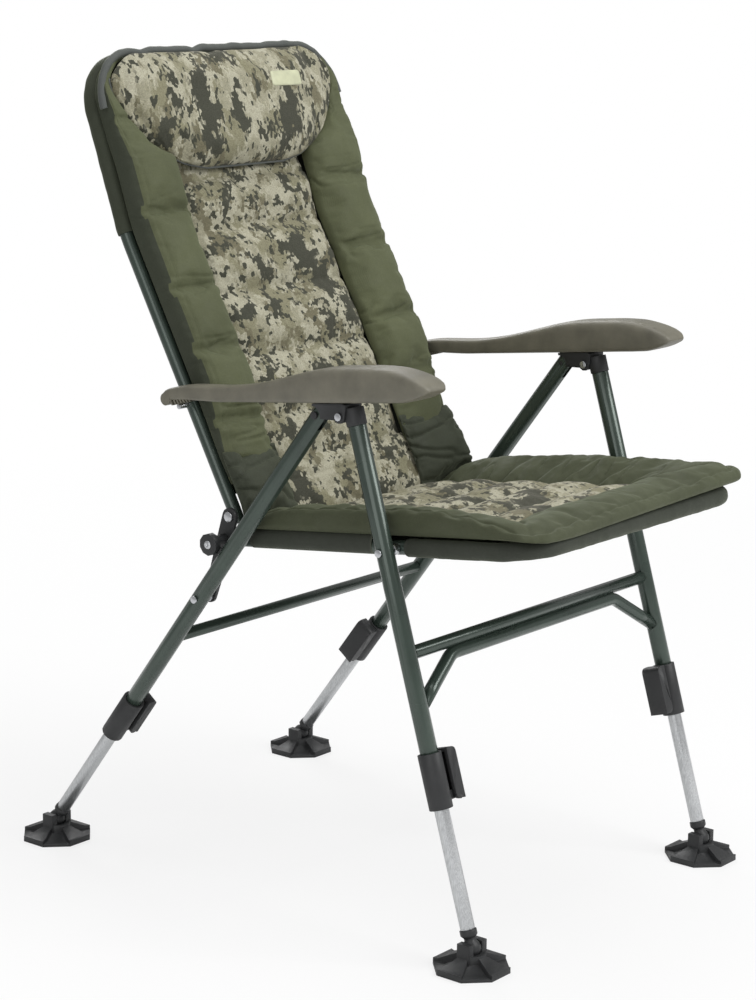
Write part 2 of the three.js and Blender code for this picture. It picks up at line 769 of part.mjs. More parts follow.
function mudFoot() {
  const apothem = footRadius * Math.cos(Math.PI / footSides)
  const halfSide = footRadius * Math.sin(Math.PI / footSides)
  const corners = Array.from({ length: footSides }, (_, corner) => {
    const angle = (2 * corner + 1) * Math.PI / footSides
    return [footRadius * Math.cos(angle), footRadius * Math.sin(angle)]
  })
  const plate = prism(outlineShape(corners), 0, footPlateThickness)
  const wedge = footSector(
    outlineShape([
      [0, footWedgeInner], [0, apothem], [footRimHeight, apothem],
      [footRimHeight, apothem - footLipWidth], [footHubHeight, footWedgeInner],
    ]),
    halfSide)
  const wedges = [0, 1, 2, 3].map((quarter) => wedge.clone().rotateZ(quarter * Math.PI / 2))
  const core = new THREE.LatheGeometry(
    [
      new THREE.Vector2(0, 0), new THREE.Vector2(footRadius * Math.SQRT1_2, 0),
      new THREE.Vector2(footRadius * Math.SQRT1_2, footPlateThickness),
      new THREE.Vector2(footCoreRadius, footRecessTop), new THREE.Vector2(0, footRecessTop),
    ],
    smallFacets).rotateX(Math.PI / 2)
  const cup = prism(discShape(cupRadius), 0, cupRimHeight, smallFacets)
  const horn = prism(
    outlineShape([
      [plugNeckRadius + hornGap, -hornHalfWidth], [cupRadius, -hornHalfWidth],
      [cupRadius, hornHalfWidth], [plugNeckRadius + hornGap, hornHalfWidth],
    ]),
    footPlateThickness, hornHeight)
  const horns = [horn, horn.clone().rotateZ(Math.PI)]
  const socket = new THREE.SphereGeometry(ballRadius + socketGap, legFacets, socketRings)
    .rotateX(Math.PI / 2).translate(0, 0, ballCentreHeight)
  return cut(join(plate, core, cup, ...wedges, ...horns), socket)
}

const legEnds = [
  { name: 'front', group: frontLegs, top: frontLegTop, lean: -frontLeanDegrees, tubeEnd: frontTubeEnd },
  { name: 'rear', group: rearLegs, top: rearPivot, lean: rearLeanDegrees, tubeEnd: rearTubeEnd },
]
for (const end of legEnds) {
  end.ballDown = (end.top[1] - ballCentreHeight) / Math.cos(radians(end.lean))
  end.innerEnd = end.ballDown - ballBelowInnerLeg
}
const longestDrawn = Math.max(...legEnds.map((end) => end.innerEnd - end.tubeEnd))
const innerLegLength = longestDrawn + innerLegInsertion
for (const end of legEnds) {
  const atLeg = (geometry) => geometry.translate(legPlane, 0, 0)
  addPair(end.group, `lock_sleeve_${end.name}`, atLeg(lockSleeve(end.tubeEnd)), blackPlastic)
  addPair(end.group, `lock_lever_${end.name}`, atLeg(lockLever(end.tubeEnd)), blackPlastic)
  addPair(end.group, `inner_leg_${end.name}`, atLeg(innerLeg(end.innerEnd, innerLegLength)), barAluminium)
  addPair(end.group, `leg_plug_${end.name}`, atLeg(legPlug(end.innerEnd, end.ballDown)), blackPlastic)
  const foot = addGroup(chair, downLeg(end.top, end.lean, end.ballDown)[0], 0)
  addPair(foot, `mud_foot_${end.name}`, atLeg(mudFoot()), blackPlastic)
}

// Armrest carriers

const rearPivotInArm = seenFrom(rearPivot, apex, -armTiltDegrees)
const bracketTop = armUnderside - bracketArmGap
const cheekInner = capRadius + cheekGap
const cheekOuter = cheekInner + cheekThickness

function armBracket() {
  const plateTop = [
    [-bracketNose, bracketTop - bracketNoseDrop], [-bracketNose + bracketNoseLength, bracketTop],
    [rearPivotInArm[0], bracketTop],
  ].reverse()
  const cheekShape = outlineShape([
    [-bracketNose, bracketTop - bracketWebThickness - bracketNoseDrop], [-cheekLobeRadius, 0],
    [0, -cheekLobeRadius / 2], [cheekLobeRadius, -cheekLobeRadius / 2],
    [rearPivotInArm[0], -cheekLowerEdge], ...plateTop,
  ])
  const webShape = outlineShape([
    [-bracketNose, bracketTop - bracketWebThickness - bracketNoseDrop],
    [-bracketNose + bracketNoseLength, bracketTop - bracketWebThickness],
    [rearPivotInArm[0], bracketTop - bracketWebThickness], ...plateTop,
  ])
  const blockShape = outlineShape([
    [bracketWebStart, bracketBlockBottom], [rearPivotInArm[0], bracketBlockBottom],
    [rearPivotInArm[0], bracketTop], [bracketWebStart, bracketTop],
  ])
  const cheeks = [-1, 1].flatMap((side) => {
    const [start, end] = side < 0 ? [-cheekOuter, -cheekInner] : [cheekInner, cheekOuter]
    return [
      sidePrism(cheekShape, start, end),
      rodAlongX(cheekLobeRadius, start, end),
    ]
  })
  const body = join(
    ...cheeks,
    sidePrism(webShape, -cheekOuter, cheekOuter),
    sidePrism(blockShape, -cheekInner - seatedGap, cheekInner + seatedGap))
  const legTopSpace = rodAlongX(
    legTubeRadius + legTopClearance, -legTubeOd, legTubeOd, ...rearPivotInArm, legFacets)
  const half = tongueThickness / 2
  const tongueNeck = outlineShape([
    [bracketWebStart, rearPivotInArm[1] - half], [rearPivotInArm[0], rearPivotInArm[1] - tongueRadius],
    [rearPivotInArm[0], rearPivotInArm[1] + tongueRadius], [bracketWebStart, rearPivotInArm[1] + tongueRadius],
  ])
  const tongue = join(
    rodAlongX(tongueRadius, -half, half, ...rearPivotInArm),
    sidePrism(tongueNeck, -half, half))
  const rivetHead = legTubeRadius + seatedGap
  const rivet = join(
    rodAlongX(boltRadius, -rivetHead, rivetHead + boltHeadThickness, ...rearPivotInArm),
    rodAlongX(boltHeadRadius, rivetHead, rivetHead + boltHeadThickness, ...rearPivotInArm))
  const lugHalf = armLugThickness / 2
  const lugShape = outlineShape([
    [-armPivotForward - armLugHalfWidth, bracketTop - bracketWebThickness - bracketNoseDrop],
    [-armPivotForward + armLugHalfWidth, bracketTop - bracketWebThickness],
    [-armPivotForward + armLugHalfWidth, armPivotUp], [-armPivotForward - armLugHalfWidth, armPivotUp],
  ])
  const armLug = join(
    sidePrism(lugShape, -lugHalf, lugHalf),
    rodAlongX(armLugHalfWidth, -lugHalf, lugHalf, -armPivotForward, armPivotUp),
    rodAlongX(boltRadius, -armPinHalfLength, armPinHalfLength, -armPivotForward, armPivotUp))
  const apexHole = rodAlongX(boltHoleRadius, -legTubeOd, legTubeOd)
  return join(cut(body, legTopSpace, apexHole), tongue, rivet, armLug)
}
addPair(arms, 'arm_bracket', armBracket().translate(legPlane, 0, 0), blackPlastic)

const apexBoltSteps = [
  [boltHeadRadius, legPlane - cheekOuter - seatedGap - boltHeadThickness],
  [boltHeadRadius, legPlane - cheekOuter - seatedGap],
  [boltRadius, legPlane - cheekOuter - seatedGap],
  [boltRadius, legPlane + cheekOuter + seatedGap],
  [boltHeadRadius, legPlane + cheekOuter + seatedGap],
  [boltHeadRadius, legPlane + cheekOuter + seatedGap + boltHeadThickness],
]
addPair(arms, 'apex_bolt', turnedAlongX(apexBoltSteps), boltSteel)

// Armrest: a moulded bar lofted from front to rear. Each station gives its place along the bar,
// its lower and upper height, and its inner and outer face, as shares of the named sizes.
const armStationShares = [
  [0, 0.27, 0.35, 0.16, 0.84],
  [0.01, 0.2, 0.47, 0.09, 0.91],
  [0.028, 0.14, 0.6, 0.03, 0.97],
  [0.073, 0, 0.82, 0, 1],
  [0.115, 0, 0.93, 0, 1],
  [0.176, 0, 0.99, 0, 1],
  [0.254, 0, 1, 0, 1],
  [0.352, 0, 0.99, 0, 0.99],
  [0.41, 0, 0.92, 0.01, 0.97],
  [0.472, 0, 0.81, 0.03, 0.94],
  [0.543, 0, 0.68, 0.05, 0.88],
  [0.634, 0, 0.525, 0.08, 0.81],
  [0.706, 0, 0.475, 0.11, 0.765],
  [0.774, 0, 0.465, 0.13, 0.74],
  [0.838, 0.05, 0.49, 0.13, 0.725],
  [0.9, 0.09, 0.5, 0.13, 0.72],
  [0.951, 0.09, 0.445, 0.13, 0.72],
  [0.984, 0.06, 0.37, 0.14, 0.71],
  [1, 0.12, 0.24, 0.18, 0.67],
]
// One section, as shares of its half width and of its height
const armSectionShares = [
  [-0.9, 0], [0.9, 0], [1, 0.1], [1, 0.5], [0.95, 0.74], [0.8, 0.9], [0.45, 0.98],
  [0, 1], [-0.45, 0.98], [-0.8, 0.9], [-0.95, 0.74], [-1, 0.5], [-1, 0.1],
]

function armrestBar() {
  const length = armFrontReach + armRearReach
  const width = armOuterFace - armInnerFace
  const rings = armStationShares.map(([along, low, high, inner, outer]) => {
    const y = -armFrontReach + along * length
    const bottom = armUnderside + low * armThickness
    const top = armUnderside + high * armThickness
    const middle = armInnerFace + width * (inner + outer) / 2
    const halfWidth = width * (outer - inner) / 2
    return armSectionShares.map(([across, up]) => [middle + across * halfWidth, y, bottom + up * (top - bottom)])
  })
  return loft(rings.reverse())
}

// Rack under the armrest's tail: teeth on an arc about the backrest hinge, as far as the rest notch;
// behind it the underside is relieved, for the pin to leave the rack as the chair folds
function armRack() {
  const rackFrontDegrees = 90 - backLeanInArmDegrees + rackAheadOfPinDegrees
  const tipRadius = reclinePinUp + reclinePinRadius + rackGap
  const onArc = (degrees, radius) => [
    hingeInArm[0] + radius * Math.cos(radians(degrees)),
    hingeInArm[1] + radius * Math.sin(radians(degrees)),
  ]
  const outline = []
  for (let tooth = 0; tooth < rackTeeth; tooth++) {
    const start = rackFrontDegrees - tooth * rackToothDegrees
    outline.push(onArc(start, tipRadius + rackToothHeight))
    outline.push(onArc(start - rackToothDegrees / 2, tipRadius))
  }
  outline.push(onArc(rackFrontDegrees - rackTeeth * rackToothDegrees, tipRadius + rackToothHeight))
  const frontEdge = outline[0][0]
  const rearEdge = armRearReach - armTailInset
  outline.push([rearEdge, armUnderside - rackRelief], [rearEdge, rackBlockTop], [frontEdge, rackBlockTop])
  return sidePrism(outlineShape(outline), rackInnerFace, rackInnerFace + rackWidth)
}

function armrest() {
  const tail = rodAlongX(
    armTailRadius, rackInnerFace + seatedGap, rackInnerFace + 2 * rackWidth - seatedGap,
    armRearReach - armTailInset, armUnderside + armTailUp, smallFacets)
  const pocketHalf = armLugThickness / 2 + armPocketGap
  const pocketRear = -armPivotForward + armLugHalfWidth + armPocketGap
  const pocketFront = -armPivotForward - armLugHalfWidth - armPocketSwing
  const pocketTop = armPivotUp + armLugHalfWidth + armPocketTop
  const pocket = sidePrism(
    outlineShape([
      [pocketFront, 0], [pocketRear, 0], [pocketRear, pocketTop], [pocketFront, pocketTop],
    ]),
    legPlane - pocketHalf, legPlane + pocketHalf)
  const pinReach = armPinHalfLength + seatedGap
  const pinHole = rodAlongX(
    boltHoleRadius, legPlane - pinReach, legPlane + pinReach, -armPivotForward, armPivotUp)
  return cut(join(armrestBar(), armRack(), tail), pocket, pinHole)
}
addPair(arms, 'armrest', armrest(), khakiPlastic)

// Hinge links, axle knobs and backrest hinge screws

function hingeLink() {
  const strip = (from, fromRadius, to, toRadius) => {
    const along = new THREE.Vector2(to[0] - from[0], to[1] - from[1]).normalize()
    const across = new THREE.Vector2(-along.y, along.x)
    const side = (point, radius, sign) => [point[0] + sign * radius * across.x, point[1] + sign * radius * across.y]
    const shape = outlineShape([
      side(from, fromRadius, -1), side(to, toRadius, -1), side(to, toRadius, 1), side(from, fromRadius, 1),
    ])
    return sidePrism(shape, linkInner, linkOuter)
  }
  const eye = (point, radius) => rodAlongX(radius, linkInner, linkOuter, ...point, legFacets)
  const hole = (point, radius) => rodAlongX(
    radius + seatedGap, linkInner - cutOverrun, linkOuter + cutOverrun, ...point)
  const plate = join(
    eye(backHinge, linkTopRadius), eye(axle, linkMiddleRadius), eye(linkBolt, linkEndRadius),
    strip(backHinge, linkTopRadius, axle, linkMiddleRadius),
    strip(axle, linkMiddleRadius, linkBolt, linkEndRadius))
  return cut(plate, hole(backHinge, boltRadius), hole(axle, axleRadius), hole(linkBolt, boltRadius))
}
addPair(links, 'hinge_link', hingeLink(), blackPlastic)

const knobSteps = [
  [axleRadius, sideTubeInner - boltEndStandOut],
  [axleRadius, linkOuter + seatedGap],
  [knobBossRadius, linkOuter + seatedGap],
  [knobBossRadius, knobOuterFace - knobThickness],
  [knobRadius, knobOuterFace - knobThickness],
  [knobRadius, knobOuterFace],
]
addPair(links, 'axle_knob', turnedAlongX(knobSteps, ...axle), blackPlastic)

const hingeScrewSteps = [
  [boltRadius, sideTubeInner - boltEndStandOut],
  [boltRadius, linkOuter + seatedGap],
  [hingeScrewHeadRadius, linkOuter + seatedGap],
  [hingeScrewHeadRadius, linkOuter + seatedGap + hingeScrewHeadThickness],
]
addPair(links, 'back_hinge_screw', turnedAlongX(hingeScrewSteps, ...backHinge), boltSteel)

// Seat frame. Along is the distance forward from the axle, so it runs towards -Y.

const sideHole = (z, y, radius) => [-1, 1].map((side) => rodAlongX(
  radius + seatedGap, side * sidePlane - sideTubeOd, side * sidePlane + sideTubeOd, y, z))
const seatBoltAlong = Math.hypot(axle[0] - seatBolt[0], seatBolt[1] - axle[1])

const seatFrame = cut(
  bentTube(
    [
      new THREE.Vector3(-sidePlane, seatTailLength, 0), new THREE.Vector3(-sidePlane, -seatFrontTube, 0),
      new THREE.Vector3(sidePlane, -seatFrontTube, 0), new THREE.Vector3(sidePlane, seatTailLength, 0),
    ],
    [seatBendRadius, seatBendRadius], sideTubeRadius, sideTubeWall),
  ...sideHole(0, 0, axleRadius), ...sideHole(0, -seatBoltAlong, boltRadius))
addPart(seat, 'seat_frame', seatFrame, frameGreen)

const rearSeatTube = cut(
  bentTube(
    [new THREE.Vector3(-sidePlane, -seatRearTube, 0), new THREE.Vector3(sidePlane, -seatRearTube, 0)],
    [], rearSeatTubeOd / 2, crossbarWall),
  ...[-1, 1].map((side) => depthPrism(
    discShape(sideTubeRadius + seatedGap, 0, side * sidePlane), -seatRearTube * 2, seatTailLength)))
addPart(seat, 'seat_rear_tube', rearSeatTube, frameGreen)

// Half width of the cloth inside a U-shaped tube whose corners are round: full width up to the
// bend, then in along the bend's inner arc. Ahead is the distance past the start of the bend.
const clothEdge = sideTubeRadius + boltEndStandOut + seatedGap
function clothHalfWidth(ahead, bendRadius) {
  const inner = bendRadius - clothEdge
  const straight = sidePlane - bendRadius
  return straight + Math.sqrt(Math.max(0, inner * inner - Math.max(0, ahead) ** 2))
}
const clothArcShares = [0, 0.35, 0.6, 0.8, 0.92, 1]

function seatSling() {
  const bendStart = seatFrontTube - seatBendRadius
  const arc = seatBendRadius - clothEdge
  const stations = [
    seatRearTube + rearSeatTubeOd / 2 + seatedGap,
    ...clothArcShares.map((share) => bendStart + share * arc),
  ]
  const half = slingThickness / 2
  return loft(stations.map((along) => {
    const side = clothHalfWidth(along - bendStart, seatBendRadius)
    return [[side, -along, -half], [side, -along, half], [-side, -along, half], [-side, -along, -half]]
  }))
}
addPart(seat, 'seat_sling', seatSling(), slingCloth)

// Upholstery profiles

// Rises from 0 at the rim to 1. The sharper it is, the steeper are the sides.
const steepSides = 6
const softSides = 4
const softerSides = 3
const rise = (t, sharpness) => Math.sqrt(Math.max(0, 1 - Math.abs(t) ** sharpness))
const rimRise = (t) => rise(t, steepSides)
// The underside stays flat nearly to the rim.
const flatness = 24
const flatRise = (t) => 1 - Math.abs(t) ** flatness
// The two skins meet this far up from the underside, as a share of the thickness.
const rimShare = 1 / 3
const crownOver = (height) => height * (1 - rimShare)
// Dips to 0 at each sewn channel, which divide a run from -1 to 1 into equal rolls.
function rolls(v, channels) {
  const phase = (v + 1) / 2 * (channels + 1)
  return Math.sqrt(Math.abs(Math.sin(phase * Math.PI)))
}
const blend = (from, to, share) => from + (to - from) * share
const smooth = (value, start, end) => THREE.MathUtils.smoothstep(value, start, end)

// Thin where the seat and the back come together at the hinge, full thickness further on
const seatTaperEnd = 110
const seatTaperStartShare = 0.3
const seatTaper = (along) => blend(seatTaperStartShare, 1, smooth(along, 0, seatTaperEnd))
const backTaperEnd = 210
const backTaperStartShare = 0.12
const backTaper = (up) => blend(backTaperStartShare, 1, smooth(up, backPadStart / 2, backTaperEnd))

const padBase = slingThickness / 2 + padBaseGap
const tubeTop = sideTubeRadius + padBaseGap
const crownShare = 0.22
const drawInShare = 0.03

function seatPad() {
  const middle = (seatPadFront + seatPadRear) / 2
  const halfLength = (seatPadFront - seatPadRear) / 2
  return cushion(padColumns, seatPadRows, (u, v, side) => {
    const along = middle - v * halfLength
    const drawn = seatPadHalfWidth * (1 - drawInShare * (1 - v * v))
    const fullness = rimRise(u) * rimRise(v)
    const height = (seatPadHeight - padBase) * seatTaper(along)
    const low = padBase + height * rimShare * (1 - flatRise(u) * flatRise(v))
    const crown = 1 - crownShare * u * u
    const top = padBase + height * rimShare + crownOver(height) * fullness * crown
      - channelDepth * (1 - rolls(v, seatChannels)) * fullness * seatTaper(along)
    return [u * drawn, -along, side > 0 ? top : low]
  })
}
addPart(seat, 'seat_pad', seatPad(), camoCloth)

const tuckShares = [-0.7, -0.25, 0.3, 0.75]
const tuckWidthShare = 0.09
const tuckDip = (v) => tuckShares.reduce(
  (dip, place) => Math.max(dip, 1 - Math.abs(v - place) / tuckWidthShare), 0)

function seatBolster() {
  const inner = seatPadHalfWidth + seamGap
  const middle = (seatPadFront + seatPadRear) / 2
  const halfLength = (seatPadFront - seatPadRear) / 2
  const centre = (inner + seatBolsterOuter) / 2
  const halfWidth = (seatBolsterOuter - inner) / 2
  return cushion(bolsterColumns, seatBolsterRows, (u, v, side) => {
    const along = middle - v * halfLength
    const fullness = rimRise(u) * rimRise(v)
    const height = seatBolsterHeight * seatTaper(along)
    const lift = seatBolsterWingRise * smooth(u, -1, 1) * seatTaper(along)
    const dip = tuckDepth * tuckDip(v) * fullness
    const top = tubeTop + height * rimShare + crownOver(height) * fullness + lift * fullness - dip
    const low = tubeTop + height * rimShare * (1 - flatRise(u) * flatRise(v))
    return [centre + u * halfWidth * (1 - drawInShare * (1 - v * v)), -along, side > 0 ? top : low]
  })
}
addPair(seat, 'seat_bolster', seatBolster(), oliveCloth)

// The front border runs over the front tube and turns down before it
const borderEdgeShare = 1 / 3
function seatFrontBorder() {
  const front = seatFrontTube + sideTubeRadius + seatBorderOverhang
  const rear = front - seatBorderDepth
  const half = seatBorderThickness / 2
  const bend = seatBorderDrop
  const flat = seatBorderDepth - bend
  const arc = bend * Math.PI / 2
  const run = flat + arc
  const centreHeight = tubeTop + half
  return cushion(wideColumns, borderRows, (u, v, side) => {
    const at = (1 - v) / 2 * run
    const turn = Math.max(0, at - flat) / bend
    const along = rear + Math.min(at, flat) + (bend - half) * Math.sin(turn)
    const height = centreHeight - (bend - half) * (1 - Math.cos(turn))
    const fullness = side > 0 ? rimRise(u) * rimRise(v) : flatRise(u) * flatRise(v)
    const thick = blend(half, half * borderEdgeShare, smooth(at, flat, run)) * fullness
    return [
      u * seatBolsterOuter,
      -(along + side * thick * Math.sin(turn)),
      height + side * thick * Math.cos(turn),
    ]
  })
}
addPart(seat, 'seat_front_border', seatFrontBorder(), oliveCloth)

// Backrest. Up is the distance from the hinge along the tube, and out is the distance forward of
// the tube's axis; the upper part bends forward at the kink.

const kinkTurn = radians(backKinkDegrees)
const backTopUp = backKinkUp + backUpperLength

function onBack(up, out) {
  const half = backKinkRadius * Math.tan(kinkTurn / 2)
  const turn = kinkTurn * THREE.MathUtils.clamp((up - backKinkUp + half) / (2 * half), 0, 1)
  const lower = Math.min(up, backKinkUp - half)
  const upper = Math.max(0, up - backKinkUp - half)
  const y = -backKinkRadius * (1 - Math.cos(turn)) - upper * Math.sin(kinkTurn)
  const z = lower + backKinkRadius * Math.sin(turn) + upper * Math.cos(kinkTurn)
  return [y - out * Math.cos(turn), z - out * Math.sin(turn)]
}

const backCorner = (side, up) => new THREE.Vector3(side * sidePlane, ...onBack(up, 0))
const kinkCorner = (side) => new THREE.Vector3(side * sidePlane, 0, backKinkUp)
const topCorner = (side) => new THREE.Vector3(
  side * sidePlane, -backUpperLength * Math.sin(kinkTurn), backKinkUp + backUpperLength * Math.cos(kinkTurn))
const backFrame = cut(
  bentTube(
    [
      backCorner(-1, -backTailLength), kinkCorner(-1), topCorner(-1),
      topCorner(1), kinkCorner(1), backCorner(1, -backTailLength),
    ],
    [backKinkRadius, backBendRadius, backBendRadius, backKinkRadius],
    sideTubeRadius, sideTubeWall),
  ...sideHole(0, 0, boltRadius), ...sideHole(reclinePinUp, 0, reclinePinRadius))
addPart(back, 'back_frame', backFrame, frameGreen)

const pinSteps = [
  [reclinePinRadius, sideTubeInner - boltEndStandOut],
  [reclinePinRadius, sideTubeOuter + reclinePinReach],
]
addPair(back, 'recline_pin', turnedAlongX(pinSteps, 0, reclinePinUp), boltSteel)

const backSlingStart = 30
const backSlingStationShares = [0, 0.3, 0.56, 0.585, 0.6, 0.615, 0.63, 0.648, 0.7, 0.8]
function backSling() {
  const bendStart = backTopUp - backBendRadius
  const arc = backBendRadius - clothEdge
  const stations = [
    ...backSlingStationShares.map((share) => blend(backSlingStart, backTopUp, share)),
    ...clothArcShares.map((share) => bendStart + share * arc),
  ]
  const half = slingThickness / 2
  return loft(stations.map((up) => {
    const side = clothHalfWidth(up - bendStart, backBendRadius)
    return [[-side, ...onBack(up, -half)], [-side, ...onBack(up, half)],
      [side, ...onBack(up, half)], [side, ...onBack(up, -half)]]
  }))
}
addPart(back, 'back_sling', backSling(), slingCloth)

// Behind the pillow the back pad is thin
const backPadTop = backTopUp - sideTubeRadius - seamGap
const behindPillowShare = 0.42
const pillowShadeStartShare = 0.93

function backPad() {
  const middle = (backPadTop + backPadStart) / 2
  const halfLength = (backPadTop - backPadStart) / 2
  return cushion(padColumns, backPadRows, (u, v, side) => {
    const up = middle + v * halfLength
    const drawn = backPadHalfWidth * (1 - drawInShare * (1 - v * v))
    const narrow = blend(1, pillowBottomHalf / backPadHalfWidth, smooth(up, pillowBottomUp, backPadTop))
    const fullness = rimRise(u) * rimRise(v)
    const behind = blend(1, behindPillowShare, smooth(up, pillowBottomUp * pillowShadeStartShare, pillowBottomUp))
    const height = (backPadHeight - padBase) * backTaper(up) * behind
    const low = padBase + height * rimShare * (1 - flatRise(u) * flatRise(v))
    const top = padBase + height * rimShare + crownOver(height) * fullness * (1 - crownShare * u * u)
      - channelDepth * (1 - rolls(v, backChannels)) * fullness * backTaper(up) * behind
    return [u * drawn * narrow, ...onBack(up, side > 0 ? top : low)]
  })
}
addPart(back, 'back_pad', backPad(), camoCloth)

// The pillow is widest at the top. Its lower corners are round.
const pillowTopUp = backTopUp + backTopCover
function pillowHalfWidth(up) {
  const share = THREE.MathUtils.clamp((up - pillowBottomUp) / (pillowTopUp - pillowBottomUp), 0, 1)
  return blend(pillowBottomHalf, pillowTopHalf, Math.sin(share * Math.PI / 2))
}

const pillowCornerShare = 0.13
const pillowCornerStartShare = 0.3
function headrestPillow() {
  const middle = (pillowTopUp + pillowBottomUp) / 2
  const halfLength = (pillowTopUp - pillowBottomUp) / 2
  return cushion(wideColumns, pillowRows, (u, v, side) => {
    const up = middle + v * halfLength
    const fullness = rise(u, softerSides) * rise(v, softSides)
    const rimOut = pillowBase + pillowHeight * rimShare
    const out = rimOut + (side > 0 ? crownOver(pillowHeight) : -pillowHeight * rimShare) * fullness
    const corner = 1 - pillowCornerShare * smooth(v, pillowCornerStartShare, 1) ** 2
    return [u * pillowHalfWidth(up) * corner, ...onBack(up, out)]
  })
}
addPart(back, 'headrest_pillow', headrestPillow(), camoCloth)

// Side bolsters, in front of the tubes; their upper ends run out beside the pillow
function backBolster() {
  const top = backTopUp + sideTubeRadius - seamGap
  const middle = (top + backBolsterStart) / 2
  const halfLength = (top - backBolsterStart) / 2
  const cornerStart = backTopUp - backBendRadius
  return cushion(bolsterColumns, backBolsterRows, (u, v, side) => {
    const up = middle + v * halfLength
    const round = Math.max(0, up - cornerStart) / (top - cornerStart)
    const outer = backBolsterOuter - (backBolsterOuter - pillowTopHalf) / 2 * round * round
    const inner = Math.max(backPadHalfWidth + seamGap, pillowHalfWidth(up) + seamGap)
    const [centre, half] = [(inner + outer) / 2, (outer - inner) / 2]
    const fullness = rimRise(u) * rimRise(v)
    const narrow = Math.min(1, 2 * half / (backBolsterOuter - backPadHalfWidth))
    const height = (backBolsterHeight - tubeTop) * backTaper(up) * narrow
    const dip = tuckDepth * tuckDip(v) * fullness * narrow
    const out = side > 0
      ? height * rimShare + crownOver(height) * fullness - dip
      : height * rimShare * (1 - flatRise(u) * flatRise(v))
    return [centre + u * half, ...onBack(up, tubeTop + out)]
  })
}
addPair(back, 'back_bolster', backBolster(), oliveCloth)

// Centre the chair on its box, standing on the floor
chair.updateMatrixWorld(true)
const box = new THREE.Box3().setFromObject(chair, true)
const centre = box.getCenter(new THREE.Vector3())
chair.position.set(-centre.x, -centre.y, -box.min.z)

export default chair
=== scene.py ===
import json
import math

import bmesh
import bpy
import numpy as np
from mathutils import Matrix, Vector, noise
from mathutils.bvhtree import BVHTree

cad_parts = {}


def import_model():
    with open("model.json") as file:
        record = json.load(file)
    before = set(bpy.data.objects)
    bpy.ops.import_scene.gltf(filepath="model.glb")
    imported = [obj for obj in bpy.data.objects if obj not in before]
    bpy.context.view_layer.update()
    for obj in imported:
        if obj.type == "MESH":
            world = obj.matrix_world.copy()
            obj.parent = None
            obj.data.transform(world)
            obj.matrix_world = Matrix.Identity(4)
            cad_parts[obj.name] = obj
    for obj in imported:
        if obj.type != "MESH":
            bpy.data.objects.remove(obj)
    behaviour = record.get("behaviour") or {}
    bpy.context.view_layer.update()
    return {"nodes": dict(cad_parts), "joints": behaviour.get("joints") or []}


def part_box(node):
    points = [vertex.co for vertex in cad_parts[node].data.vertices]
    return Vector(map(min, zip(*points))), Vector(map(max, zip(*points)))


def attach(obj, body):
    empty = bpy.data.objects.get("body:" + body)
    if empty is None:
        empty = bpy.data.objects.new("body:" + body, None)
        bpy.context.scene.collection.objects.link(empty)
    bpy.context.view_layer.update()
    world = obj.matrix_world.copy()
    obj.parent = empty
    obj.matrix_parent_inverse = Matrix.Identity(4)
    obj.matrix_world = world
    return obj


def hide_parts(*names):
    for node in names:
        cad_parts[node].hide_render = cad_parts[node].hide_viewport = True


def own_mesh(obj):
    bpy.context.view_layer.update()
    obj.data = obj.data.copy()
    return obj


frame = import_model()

PIVOTS = {joint["name"]: Vector(joint["pos_m"]) for joint in frame["joints"] if "pos_m" in joint}
AXLE = PIVOTS["link_fold"]
SEAT_BOLT = PIVOTS["seat_fold"]
BACK_HINGE = PIVOTS["back_fold"]
ARM_APEX = PIVOTS["bracket_fold"]
REAR_PIVOT = PIVOTS["rear_leg_fold"]
SIDES = ((-1, "right"), (1, "left"))

# Camera, solved from the photograph: its view direction, place and focal length
CAMERA_AZIMUTH = -50.785
CAMERA_ELEVATION = 12.50
CAMERA_ROLL = 0.497
CAMERA_PLACE = (-2.9003, -2.3555, 1.3677)
FOCAL_PIXELS = 2599.35
PHOTO_LONG_SIDE = 1000
SENSOR = 36.0

# Frame tubes
SIDE_TUBE_X = 0.250
SIDE_TUBE_RADIUS = 0.010
SEAT_TAIL = 0.010
SEAT_FRONT_TUBE = 0.527
SEAT_BEND = 0.062
SEAT_SLOPE = math.atan2(SEAT_BOLT.z - AXLE.z, AXLE.y - SEAT_BOLT.y)
BACK_LEAN = math.radians(29)
BACK_TAIL = 0.012
KINK_UP = 0.435
KINK = math.radians(9.3)
KINK_RADIUS = 0.26
KINK_HALF = KINK_RADIUS * math.tan(KINK / 2)
BACK_TOP = KINK_UP + 0.252
BACK_BEND = 0.072
BACK_BEND_START = BACK_TOP - BACK_BEND
CROSSBAR_RADIUS = 0.0095
FRONT_LEAN = math.radians(16.7)
LEG_X = 0.284


# Places on the seat and the back

def leaned(origin, lean, x, y, z):
    """Places given from origin in axes that are turned by lean about x."""
    x, y, z = np.broadcast_arrays(x, y, z)
    sine, cosine = math.sin(lean), math.cos(lean)
    return np.stack([x, origin.y + y * cosine - z * sine, origin.z + y * sine + z * cosine], -1)


def on_seat(x, along, up):
    """x across, along forward from the axle, up off the side tubes' axes."""
    return leaned(AXLE, -SEAT_SLOPE, x, -along, up)


def on_back(x, up, out):
    """x across, up along the side tubes from the hinge, out in front of their axes."""
    turn = KINK * np.clip((up - KINK_UP + KINK_HALF) / (2 * KINK_HALF), 0, 1)
    lower = np.minimum(up, KINK_UP - KINK_HALF)
    upper = np.maximum(0, up - KINK_UP - KINK_HALF)
    y = -KINK_RADIUS * (1 - np.cos(turn)) - upper * math.sin(KINK) - out * np.cos(turn)
    z = lower + KINK_RADIUS * np.sin(turn) + upper * math.cos(KINK) - out * np.sin(turn)
    return leaned(BACK_HINGE, -BACK_LEAN, x, y, z)


def lerp(a, b, share):
    return a + (b - a) * share


